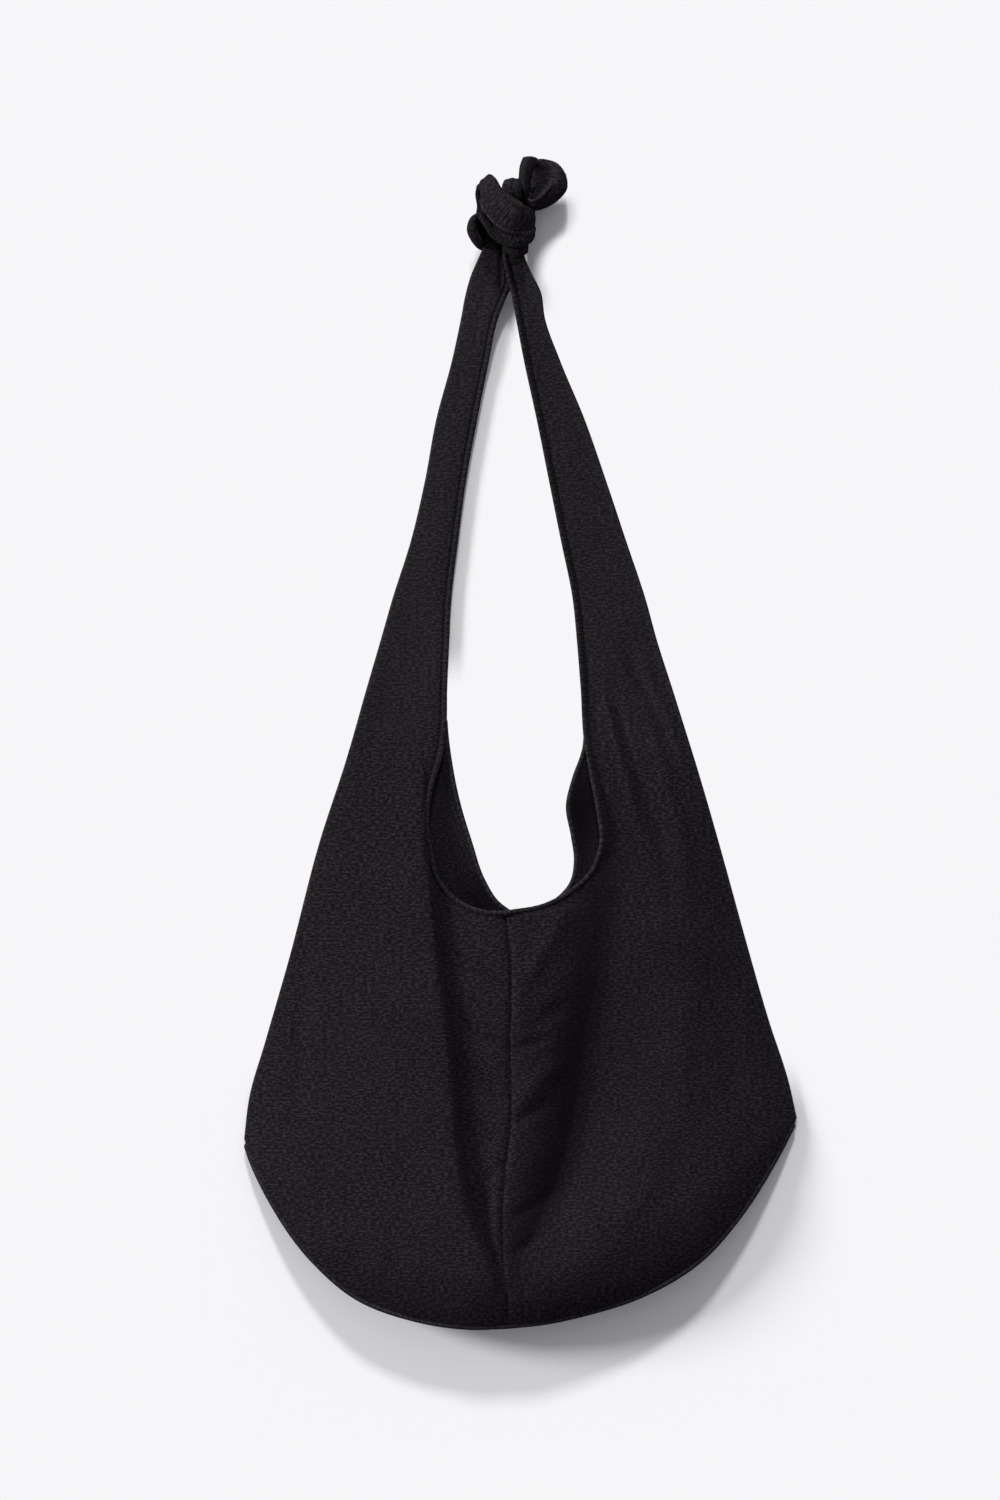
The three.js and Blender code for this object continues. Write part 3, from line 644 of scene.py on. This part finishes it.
def liningPiece(half):
    low, high = liningForm["rows"]

    def shape(share, row):
        rise = riseOf((low + (high - low) * row) * body["rootRise"])
        places, cloth, u, width = bothFaces(half, share, rise, liningForm["gap"])
        onBack = share > body["turn"]
        stretched = places * np.array(liningForm["stretch"])
        creasing = slowNoise(stretched, liningForm["scale"], liningForm["seed"])
        places[:, 1] -= creasing * liningForm["deep"] * ease(u * width, *liningForm["fromEdge"]) * onBack
        pixels = (cloth - body["backWeave"] * onBack[:, None]) / clothPixel
        # painted shade inside the mouth goes in as values below 0
        paintedShade = np.zeros(len(share))
        for x, y, wide, tall, much in liningForm["paintedShadeSpots"][half]:
            paintedShade = np.maximum(paintedShade, much * hump(pixels[:, 0], x, wide) * hump(pixels[:, 1], y, tall))
        return places, cloth, -paintedShade

    bm = shapedGrid(liningForm["across"], liningForm["along"], shape)
    if half == "left":
        bmesh.ops.reverse_faces(bm, faces=bm.faces)
    return newPiece(half + "_lining_sheet", bm, lining)


linings = {half: liningPiece(half) for half in ("left", "right")}
print("linings made")

mouthLow = body["mouthRow"] * body["rootRise"]

# turned hems along the mouth and the straps, whipped with thread; the one at the back wraps the lining too
hem = {
    "half": 1.9 * mm, "thick": 1.9 * mm, "inside": 0.9 * mm, "around": 12, "rubbedandlit": (0.25, 0.75),
    # the back hem takes the rubbed tone almost in full as a painted highlight
    "backThick": 2.7 * mm, "backForward": 1.2 * mm, "backPaintedHighlight": (0.9, 1.0),
    "frontTop": 0.995, "backTop": 0.95 * body["rootRise"], "aboveLow": 1e-4,
    "samples": 400, "innerPath": 6 * mm, "whip": 0.3, "whipPitch": 5.4 * mm,
}
# the section that hems and welt share: how round, how the whipping draws it in, how its ends close and where
# its other side starts
bead = {"step": 1.3 * mm, "roundWide": 0.8, "roundHigh": 0.75, "whipTwist": 1.2, "whipHigh": 0.5,
        "closeRows": (-0.6, 1.6), "otherSideFrom": -0.2}


def edgePath(half, face, rises, inside=0.0):
    zero = np.zeros(len(rises))
    width = clothPoint(half, face, zero, rises)[2]
    return clothPoint(half, face, inside / width, rises)[0]


def hemPath(face, top):
    # round the mouth from one strap to the other, with a path a little way in on the cloth
    rises = np.linspace(top, mouthLow + hem["aboveLow"], hem["samples"])
    return [np.r_[edgePath("left", face, rises, inside), edgePath("right", face, rises[::-1], inside)]
            for inside in (0.0, hem["innerPath"])]


def sweptBead(name, path, inward, half, thick, around, shiftIn=0.0, rubbedandlit=hem["rubbedandlit"], whip=0.0):
    # a rounded strip along a path: half wide along inward, thick square to it, drawn in by whipped stitches
    lengths = lengthAlong(path)
    count = max(int(lengths[-1] / bead["step"]), 2)
    at = np.linspace(0, lengths[-1], count)
    spots, inward = readAlong(at, lengths, path), readAlong(at, lengths, inward)
    tangent = unit(np.gradient(spots, axis=0))
    inward = unit(inward - np.sum(inward * tangent, axis=1, keepdims=True) * tangent)
    normal = np.cross(tangent, inward)
    centre = spots + inward * shiftIn

    def shape(share, row):
        i = np.round(row * (count - 1)).astype(int)
        angle = share * 2 * math.pi
        c, s = np.cos(angle), np.sin(angle)
        drawnIn = whip * np.sin(at[i] / hem["whipPitch"] * 2 * math.pi + bead["whipTwist"] * s)
        close = ease(np.minimum(row, 1 - row) * (count - 1), *bead["closeRows"])
        wide = half * rounded(c, bead["roundWide"]) * close
        high = thick * rounded(s, bead["roundHigh"]) * (1 + bead["whipHigh"] * drawnIn) * close
        places = centre[i] + inward[i] * wide[:, None] + normal[i] * high[:, None]
        cloth = np.stack([share * 4 * half, at[i]], axis=-1)
        # on the welt and the back hem these amounts of the rubbed tone are painted highlights
        return places, cloth, np.where(c < bead["otherSideFrom"], rubbedandlit[1], rubbedandlit[0]) + drawnIn

    bm = shapedGrid(around, count - 1, shape, closed=True)
    bmesh.ops.recalc_face_normals(bm, faces=bm.faces)
    return newPiece(name, bm, canvas)


frontEdge, frontIn = hemPath("front", hem["frontTop"])
frontHem = sweptBead("front_mouth_hem", frontEdge, frontIn - frontEdge, hem["half"], hem["thick"],
                     hem["around"], shiftIn=hem["inside"], whip=hem["whip"])
backEdge, backIn = hemPath("back", hem["backTop"])
backMiddle = backEdge - np.array([0, hem["backForward"], 0])
backHem = sweptBead("back_mouth_hem", backMiddle, backIn - backEdge, hem["half"], hem["backThick"],
                    hem["around"], shiftIn=hem["inside"], rubbedandlit=hem["backPaintedHighlight"], whip=hem["whip"])

# the rolled seam along the bottom, from corner to corner
# a painted highlight: all but the welt's underside takes the rubbed tone in full
weltForm = {"half": 2.2 * mm, "thick": 3.2 * mm, "around": 12, "shiftIn": 0.6 * mm, "rubbedandlit": (1.0, 0.1),
            "reach": 0.985, "samples": 160, "low": 1e-4, "high": 0.02}


def bottomPath(rise):
    # midway between the front and the back
    out = np.linspace(weltForm["reach"], 0, weltForm["samples"])
    path = []
    for half, u in (("left", out), ("right", out[::-1])):
        front, back = (clothPoint(half, face, u, np.full(len(u), rise))[0] for face in ("front", "back"))
        path.append((front + back) / 2)
    return np.concatenate(path)


lowEdge, highEdge = bottomPath(weltForm["low"]), bottomPath(weltForm["high"])
highEdge[:, 1] = lowEdge[:, 1]
welt = sweptBead("bottom_seam_welt", lowEdge, highEdge - lowEdge, weltForm["half"], weltForm["thick"],
                 weltForm["around"], shiftIn=weltForm["shiftIn"], rubbedandlit=weltForm["rubbedandlit"])

# topstitching beside the hems
stitching = {"inside": body["ditchIn"], "long": 2.3 * mm, "pitch": 3.1 * mm, "radius": 0.36 * mm,
             "lift": 0.1 * mm, "top": 0.985, "aboveLow": 2e-3, "samples": 500, "probe": 1.5 * mm,
             "sides": 6, "rings": 4}


def stitchRow(half, face):
    rises = np.linspace(stitching["top"], mouthLow + stitching["aboveLow"], stitching["samples"])
    row = edgePath(half, face, rises, stitching["inside"])
    further = edgePath(half, face, rises, stitching["inside"] + stitching["probe"])
    normal = unit(np.cross(np.gradient(row, axis=0), further - row))
    outward = -1 if face == "front" else 1
    normal *= np.where(normal[:, 1:2] * outward < 0, -1, 1)
    return row, normal


def stitchPiece(name, rows):
    # rows of (path, normals): short rounded thread lengths lying in the cloth
    one = bmesh.new()
    bmesh.ops.create_uvsphere(one, u_segments=stitching["sides"], v_segments=stitching["rings"], radius=1)
    sample = bpy.data.meshes.new("oneStitch")
    one.to_mesh(sample)
    one.free()
    bm = bmesh.new()
    uvLayer = bm.loops.layers.uv.new("cloth")
    size = Matrix.Diagonal((stitching["radius"], stitching["long"] / 2, stitching["radius"], 1))
    for path, normals in rows:
        lengths = lengthAlong(path)
        at = (np.arange(int(lengths[-1] / stitching["pitch"])) + 0.5) * stitching["pitch"]
        spots, ups = readAlong(at, lengths, path), unit(readAlong(at, lengths, normals))
        ways = unit(np.gradient(spots, axis=0))
        for spot, up, way in zip(spots, ups, ways):
            sideways = unit(np.cross(up, way))
            up = np.cross(way, sideways)
            turn = Matrix((sideways, way, up)).transposed().to_4x4()
            stitch = sample.copy()
            stitch.transform(Matrix.Translation(spot + up * stitching["lift"]) @ turn @ size)
            bm.from_mesh(stitch)
            bpy.data.meshes.remove(stitch)
    bpy.data.meshes.remove(sample)
    for face in bm.faces:
        for loop in face.loops:
            loop[uvLayer].uv = (loop.vert.co.x, loop.vert.co.z)
    return newPiece(name, bm, thread)


rows = [stitchRow(half, face) for face in ("front", "back") for half in ("left", "right")]
stitches = stitchPiece("edge_stitches", rows)
print("hems and stitches made", len(stitches.data.polygons))

# the knot: each station of a route is pixel x, y and depth in mm, then half the strand's breadth
# as pixel x, y and depth in mm, then half its thickness in mm
knotStrands = {
    "left_knot_strand": {"node": "left_knot_turn", "across": 40, "along": 150, "seed": 2.3, "route": [
        (492, 248, 7, 7, 0, 0, 1.4), (490, 240, 8, 9, 1, 0, 2.4), (488, 232, 9, 10, 1, 0, 3.0),
        (486, 220, 10, 11, 0, 0, 3.2), (486, 205, 11, 9, -3, 0, 3.0), (483, 190, 9, 7, -6, 0, 2.8),
        (484, 182.5, 4, 6.5, -7.5, 0, 2.8), (488, 184.5, -4, 6.5, -7.5, 0, 2.8),
        (494, 198.5, -13, 10, -11.5, 2, 3.0), (504, 210, -19, 9, -14, 2, 3.2),
        (515.5, 217.5, -21, 8.5, -14.5, 1, 3.2), (527, 220.5, -15, 4, -13, 0, 3.0),
        (532, 219.5, -3, 0, -11, 0, 3.0), (528, 216, 7, -3, -10, 0, 3.0), (519, 212, 9, -8, -7, 1, 3.0),
        (512, 206, 2, -10, -3, 0, 3.0), (511, 197, -9, -10.5, -2, 0, 3.4),
        (512, 187, -10, -10, -1, 0, 3.4), (514, 182, -2, -9.5, 0, 0, 3.2), (519, 187, 7, -8, 0, 0, 2.8),
        (525, 197, 9, -6, -2, 0, 2.6),
    ]},
    "right_knot_strand": {"node": "right_knot_turn", "across": 40, "along": 150, "seed": 6.1, "route": [
        (516, 264, -1, 11, 0, 0, 2.6), (512, 250, 0, 10, 1, 0, 3.0), (504, 243, 5, 8, 4, 1, 3.0),
        (495, 243, 11, 3, 5, 3, 3.0), (485, 245, 9, 0, 3, 8, 3.0), (477, 240, 2, -1, 1, 11, 3.6),
        (472.5, 230, -1, 0, 0, 12, 4.4), (475, 220, -3, 0, 0, 11, 4.0), (481, 216.5, -6, 0, -2, 8, 3.2),
        (487, 221.5, -10, 1, -6, 5, 2.8), (495, 231, -13, 2, -8, 2, 2.8), (506, 238, -17, 1, -8, 0, 3.0),
        (517, 240.5, -19, 0, -7.5, 0, 3.2), (527, 238, -14, 2, -7.5, 0, 3.2),
        (532, 232, -3, 1, -7, 0, 3.0), (529, 224, 7, -2, -6, 0, 3.0), (528, 212, 11, -7, -1, 0, 2.8),
        (531, 204, 9, -7, 2, 0, 2.8),
    ]},
    "right_strap_tuck": {"node": None, "across": 24, "along": 40, "seed": 9.4, "route": [
        (504, 249, -9, 1, -3, 0, 2.0), (511, 251, -13, 0, -4, 0, 2.2), (519, 252, -14, 0, -4.5, 0, 2.4),
        (525, 250, -8, 1, -4.5, 0, 2.4), (526, 247, 0, 1, -4, 0, 2.0),
    ]},
    # gathered cloth that fills the middle of the knot
    "knot_core": {"node": None, "across": 32, "along": 50, "seed": 4.2, "route": [
        (498, 238, -1, 8, 0, 0, 4), (497, 228, -2, 12, 0, 0, 7), (498, 212, -3, 14, -3, 0, 9),
        (505, 200, -2, 12, -6, 0, 8), (515, 197, 0, 7, -9, 0, 8), (525, 198, 1, 3, -8, 0, 7),
        (532, 202, 1, 1, -7, 0, 5),
    ]},
    "knot_side_core": {"node": None, "across": 32, "along": 30, "seed": 8.8, "route": [
        (492, 224, 0, 8, 0, 0, 7), (489, 212, -1, 7, -2, 0, 9), (486.5, 201, -1, 6, -4, 0, 9),
        (486, 192, 0, 5, -5, 0, 7), (484, 187, 1, 3, -5, 0, 5),
    ]},
}
# how a strand is rounded, ridged by gathering, rimmed and worn
strandForm = {
    "smooth": (1, 2, 3, 2, 1), "roundWide": 0.85, "roundHigh": 0.7, "flat": 0.72,
    "ridgesAcross": 2.2, "ridgesAlong": 28, "ridgeDeep": 0.9 * mm, "ridgeCurve": 3,
    "rimAt": (0.9, 0.1), "rimDeep": 0.5 * mm, "clothAcross": 50 * mm, "wornAt": (1.0, 0.05), "toned": 0.5,
}


def strandPiece(name):
    across, along, seed = (knotStrands[name][key] for key in ("across", "along", "seed"))
    table = np.array(knotStrands[name]["route"], float)
    stations = table[:, :3] * np.array([pixelMm, pixelMm, 1.0])
    stationShares = lengthAlong(stations)
    stationShares /= stationShares[-1]
    shares = np.linspace(0, 1, along + 1)
    seen = lineThrough(stations)(shares)
    centre = fromPhoto(seen[:, :2] / pixelMm, seen[:, 2] * mm)
    # breadth and thickness run straight from station to station, and are smoothed a little
    kernel = np.array(strandForm["smooth"]) / sum(strandForm["smooth"])
    beyond = len(kernel) // 2
    sizes = np.pad(readAlong(shares, stationShares, table[:, 3:]), ((beyond, beyond), (0, 0)), mode="edge")
    sizes = np.stack([np.convolve(column, kernel, mode="valid") for column in sizes.T], axis=-1) * mm
    tangent = unit(np.gradient(centre, axis=0))
    half = np.stack([sizes[:, 0] * pixelMm, sizes[:, 2], -sizes[:, 1] * pixelMm], axis=-1)
    half = half - np.sum(half * tangent, axis=1, keepdims=True) * tangent
    normal = unit(np.cross(tangent, half))
    length = lengthAlong(centre)

    def shape(share, row):
        i = np.round(row * along).astype(int)
        angle = share * 2 * math.pi
        c, s = np.cos(angle), np.sin(angle)
        wide, high = rounded(c, strandForm["roundWide"]), rounded(s, strandForm["roundHigh"])
        run = np.stack([wide * strandForm["ridgesAcross"] + seed, length[i] * strandForm["ridgesAlong"],
                        np.full(len(i), seed)], axis=-1)
        ridges = slowNoise(run, 1.0, seed) * strandForm["ridgeDeep"]
        ridges *= 1 - np.abs(c) ** strandForm["ridgeCurve"]
        rim = strandForm["rimDeep"] * hump(np.abs(wide), *strandForm["rimAt"])
        thick = sizes[i, 3] * (strandForm["flat"] + (1 - strandForm["flat"]) * np.abs(s)) + ridges + rim
        places = centre[i] + half[i] * wide[:, None] + normal[i] * (high * thick)[:, None]
        cloth = np.stack([share * strandForm["clothAcross"], length[i]], axis=-1)
        return places, cloth, hump(np.abs(c), *strandForm["wornAt"]) * strandForm["toned"]

    bm = shapedGrid(across, along, shape, closed=True)
    ends = [e for e in bm.edges if e.is_boundary]
    bmesh.ops.holes_fill(bm, edges=ends, sides=0)
    bmesh.ops.recalc_face_normals(bm, faces=bm.faces)
    return newPiece(name, bm, canvas)


strandPieces = {name: strandPiece(name) for name in knotStrands}

# hems that stand out on the knot: pixel x, y and depth in mm along each, and the way in across the cloth
knotHems = {
    "knot_band_hem": {"path": [(480, 200, -6), (484, 209, -15.5), (495, 223, -22), (507, 231, -24),
                               (518, 233.5, -22.5), (526, 232.5, -15), (531, 229, -4)],
                      "inward": (9, -12, 0)},
    "long_end_hem": {"path": [(528, 199, -11), (533, 201, -16.5), (538, 199, -18), (545, 193, -17),
                              (553, 184, -13.5)], "inward": (5, 7, 0)},
}
knotHemForm = {"half": 1.3 * mm, "thick": 1.1 * mm, "around": 10, "samples": 60}


def knotHemPiece(name):
    form = knotHems[name]
    seen = lineThrough(form["path"])(np.linspace(0, 1, knotHemForm["samples"]))
    path = fromPhoto(seen[:, :2], seen[:, 2] * mm)
    x, y, depth = form["inward"]
    inward = np.tile(np.array([x, depth, -y], float), (len(path), 1))
    return sweptBead(name, path, inward, knotHemForm["half"], knotHemForm["thick"], knotHemForm["around"],
                     whip=hem["whip"])


bandHem, endHem = (knotHemPiece(name) for name in knotHems)
print("knot made")

# the tied ends: lines from root to tip, each point a pixel x, y and a depth in mm
tiedEnds = {
    "short_strap_end": {"across": 24, "seed": 0.4, "lines": [
        [(524, 208, 4), (519, 194, 3), (518.5, 178, 2), (520, 164, 3), (523, 156.5, 6)],
        [(526, 208, -2), (521.5, 193, -6), (521, 178, -9), (522.5, 165, -8), (525.5, 156, -1)],
        [(528, 208, -4), (525, 193, -10), (524.5, 178, -13), (526, 166, -12), (529.5, 155.5, -5)],
        [(530, 208, -2), (528, 194, -8), (528.5, 180, -10), (530.5, 168, -9), (534, 156, -4)],
        [(531, 208, 4), (530, 194, -1), (531, 180, -2), (533.5, 168, -2), (538, 157.5, -1)],
    ]},
    "long_strap_end": {"across": 42, "seed": 1.7, "lines": [
        [(526, 206, 11), (527, 195, 11), (529, 183, 12), (531, 171, 11), (533, 160, 7)],
        [(529, 205, 5), (533, 195, 6), (537, 183, 7), (540, 171, 7), (542, 158, 5)],
        [(530, 203, -6), (539, 196, -10), (547, 186, -8), (553, 175, -5), (555, 161, 1)],
        [(529, 204, -9), (539, 199, -16), (550, 190, -15), (559, 179, -11), (562, 167, -3)],
        [(530, 207, -6), (542, 204.5, -11), (555, 196, -11), (565, 184, -8), (565, 172, -1)],
        [(531, 209, 2), (543, 206.5, 0), (558, 198, 0), (567.5, 185, 1), (566, 174, 4)],
        [(532, 207, 9), (542, 203.5, 9), (555, 195, 9), (563, 184, 9), (562, 174, 9)],
    ]},
}
endForm = {"along": 30, "wall": 2.2 * mm, "waves": 120, "waveDeep": 0.7 * mm, "cloth": (40 * mm, 45 * mm),
           "sideRim": 0.04, "tipRim": 0.05, "toned": 0.5, "rounding": 1}


def tiedEnd(name):
    # a wall of cloth through the lines, rounded at its edges
    form, along = tiedEnds[name], endForm["along"]
    stack = np.stack([lineThrough(line)(np.linspace(0, 1, along + 1)) for line in form["lines"]])
    slope = np.gradient(stack, axis=0)
    clothWide, clothLong = endForm["cloth"]

    def shape(share, row):
        i = np.round(row * along).astype(int)
        spot = share * (len(stack) - 1)
        k = np.clip(spot.astype(int), 0, len(stack) - 2)
        seen = hermite((spot - k)[:, None], stack[k, i], slope[k, i], stack[k + 1, i], slope[k + 1, i])
        places = fromPhoto(seen[:, :2], seen[:, 2] * mm)
        places[:, 1] += slowNoise(places, endForm["waves"], form["seed"]) * endForm["waveDeep"]
        cloth = np.stack([share * clothWide, row * clothLong], axis=-1)
        rim = np.maximum(hump(share, 0, endForm["sideRim"]), hump(share, 1, endForm["sideRim"]))
        return places, cloth, np.maximum(rim, hump(row, 1, endForm["tipRim"])) * endForm["toned"]

    bm = shapedGrid(form["across"], along, shape)
    bmesh.ops.solidify(bm, geom=bm.faces[:] + bm.edges[:] + bm.verts[:], thickness=endForm["wall"])
    bmesh.ops.recalc_face_normals(bm, faces=bm.faces)
    piece = newPiece(name, bm, canvas)
    rounding = piece.modifiers.new("rounding", "SUBSURF")
    rounding.levels = rounding.render_levels = endForm["rounding"]
    return piece


shortEnd, longEnd = (tiedEnd(name) for name in tiedEnds)
print("tied ends made")

# what each piece stands for and rides on
for half in ("left", "right"):
    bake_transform(halfPieces[half])
    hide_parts(half + "_panel", half + "_strap")
    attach(linings[half], "bag")
    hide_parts(half + "_lining")
for piece, node in ((frontHem, "front_mouth_binding"), (backHem, "back_mouth_binding"), (stitches, None)):
    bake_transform(piece)
    if node:
        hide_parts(node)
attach(welt, "bag")
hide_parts("bottom_welt")
onKnot = [(strandPieces[name], form["node"]) for name, form in knotStrands.items()]
for piece, node in (*onKnot, (bandHem, None)):
    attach(piece, "strap_loop")
    if node:
        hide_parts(node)
onEnds = [(shortEnd, "short_tail", "left_strap_tail"), (longEnd, "long_tail", "right_strap_tail"),
          (endHem, "long_tail", None)]
for piece, bodyName, node in onEnds:
    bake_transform(piece)
    if node:
        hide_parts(node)

# stage: a pale backdrop close behind the bag that gives way behind the knot, seen only from the front
stage = {
    "depth": 2.4 * mm, "knotDepth": 12.5 * mm, "gives": (-0.085, -0.012),
    "left": -0.28, "right": 0.32, "low": -0.95, "high": 0.10, "cell": 4 * mm,
    "colour": (0.936, 0.93, 0.946),
    # it is there where a shadow falls, in photo pixels, and clears to the white behind it elsewhere
    "underBag": (170, 260, 810, 890), "bagRows": (1050, 1115, 1390, 1460),
    "besideStrap": (-36, -26, 12, 24), "strapRows": (275, 300, 640, 690),
    "besideKnot": (-70, -60, -8, 10), "knotRows": (190, 204, 290, 320),
    "knotRight": [
        (570, 180), (570, 195), (572, 215), (566, 228), (552, 240), (543, 252), (538, 270), (544, 290),
        (550, 330),
    ],
}


def backdropShape(across, up):
    # where the backdrop is there goes into the grid's wearShadingMask
    x = stage["left"] + (stage["right"] - stage["left"]) * across
    z = stage["low"] + (stage["high"] - stage["low"]) * up
    y = stage["depth"] + (stage["knotDepth"] - stage["depth"]) * ease(z, *stage["gives"])
    px, py = photo["hang"][0] + x / photo["pixel"], photo["hang"][1] - z / photo["pixel"]
    innerEdge = halves["left"]["strapInner"][::-1] + halves["left"]["backMouth"][-2:2:-1]
    fromStrap = px - downLine(innerEdge)(py)
    fromKnot = px - downLine(stage["knotRight"])(py)
    there = between(py, *stage["bagRows"]) * between(px, *stage["underBag"])
    there = np.maximum(there, between(py, *stage["strapRows"]) * between(fromStrap, *stage["besideStrap"]))
    there = np.maximum(there, between(py, *stage["knotRows"]) * between(fromKnot, *stage["besideKnot"]))
    return np.stack([x, y, z], axis=-1), np.stack([x, z], axis=-1), there


def wallMaterial():
    material = bpy.data.materials.new("paleWall")
    material.use_nodes = True
    tree = material.node_tree
    tree.nodes.remove(tree.nodes["Principled BSDF"])
    flat = addNode(tree, "CombineXYZ", {1: -1.0}).outputs[0]  # lit as one plane, though it gives way
    paint = addNode(tree, "BsdfDiffuse", {"Color": (*stage["colour"], 1), "Normal": flat})
    clear = addNode(tree, "BsdfTransparent")
    rays = addNode(tree, "LightPath")
    behind = addNode(tree, "NewGeometry").outputs["Backfacing"]
    passing = math2(tree, "MAXIMUM", rays.outputs["Is Shadow Ray"], rays.outputs["Is Diffuse Ray"])
    there = addNode(tree, "Attribute", attribute_name="wearShadingMask").outputs["Fac"]
    share = math2(tree, "MAXIMUM", passing, behind)
    share = math2(tree, "MAXIMUM", share, math2(tree, "SUBTRACT", 1.0, there))
    mixed = addNode(tree, "MixShader", {0: share, 1: paint.outputs[0], 2: clear.outputs[0]})
    tree.links.new(mixed.outputs[0], tree.nodes["Material Output"].inputs["Surface"])
    return material


backdropCells = (int((stage["right"] - stage["left"]) / stage["cell"]),
                 int((stage["high"] - stage["low"]) / stage["cell"]))
wall = newPiece("pale_wall", shapedGrid(*backdropCells, backdropShape), wallMaterial())

# light: soft lamps from the upper left and from above, and a broad one from behind
lamps = {
    "left": {"strength": 3.12, "angle": 14, "toward": (2.4, 1.0, -0.9)},
    "top": {"strength": 2.03, "angle": 6, "toward": (0.0, 1.0, -1.9)},
    "behind": {"strength": 1.8, "angle": 60, "toward": (-0.2, -1.0, -0.45)},
}
for name, form in lamps.items():
    lamp = bpy.data.lights.new(name, "SUN")
    lamp.energy = form["strength"]
    lamp.angle = math.radians(form["angle"])
    holder = bpy.data.objects.new(name, lamp)
    holder.rotation_euler = Vector(form["toward"]).to_track_quat("-Z", "Y").to_euler()
    bpy.context.scene.collection.objects.link(holder)

# the world: its own even light, stronger from above, and the white that is only seen
sky = {"below": 0.22, "above": 0.44, "seen": 0.937, "colour": (0.987, 0.983, 1.0)}
world = bpy.data.worlds.new("studio")
bpy.context.scene.world = world
world.use_nodes = True
tree = world.node_tree
background = tree.nodes["Background"]
rays = addNode(tree, "LightPath")
seen = math2(tree, "MAXIMUM", rays.outputs["Is Glossy Ray"], rays.outputs["Is Transmission Ray"])
seen = math2(tree, "MAXIMUM", rays.outputs["Is Camera Ray"], seen)
way = addNode(tree, "TexCoord").outputs["Generated"]
height = addNode(tree, "SeparateXYZ", {0: way}).outputs["Z"]
light = addNode(tree, "MapRange", {0: height, 1: -1.0, 2: 1.0, 3: sky["below"], 4: sky["above"]})
strength = addNode(tree, "Mix", {0: seen, 2: light.outputs[0], 3: sky["seen"]}, data_type="FLOAT")
tree.links.new(strength.outputs[0], background.inputs["Strength"])
background.inputs["Color"].default_value = (*sky["colour"], 1)

# camera straight on, as the photo was taken
cameraData = bpy.data.cameras.new("photoCamera")
cameraData.lens = photo["lens"]
cameraData.sensor_width = photo["sensor"]
camera = bpy.data.objects.new("photoCamera", cameraData)
camera.location = ((photo["middle"][0] - photo["hang"][0]) * photo["pixel"], -photo["distance"],
                   (photo["hang"][1] - photo["middle"][1]) * photo["pixel"])
camera.rotation_euler = (math.radians(90), 0, 0)
bpy.context.scene.collection.objects.link(camera)
bpy.context.scene.camera = camera
bpy.context.scene.view_settings.view_transform = "Standard"
print("stage, light and camera set")
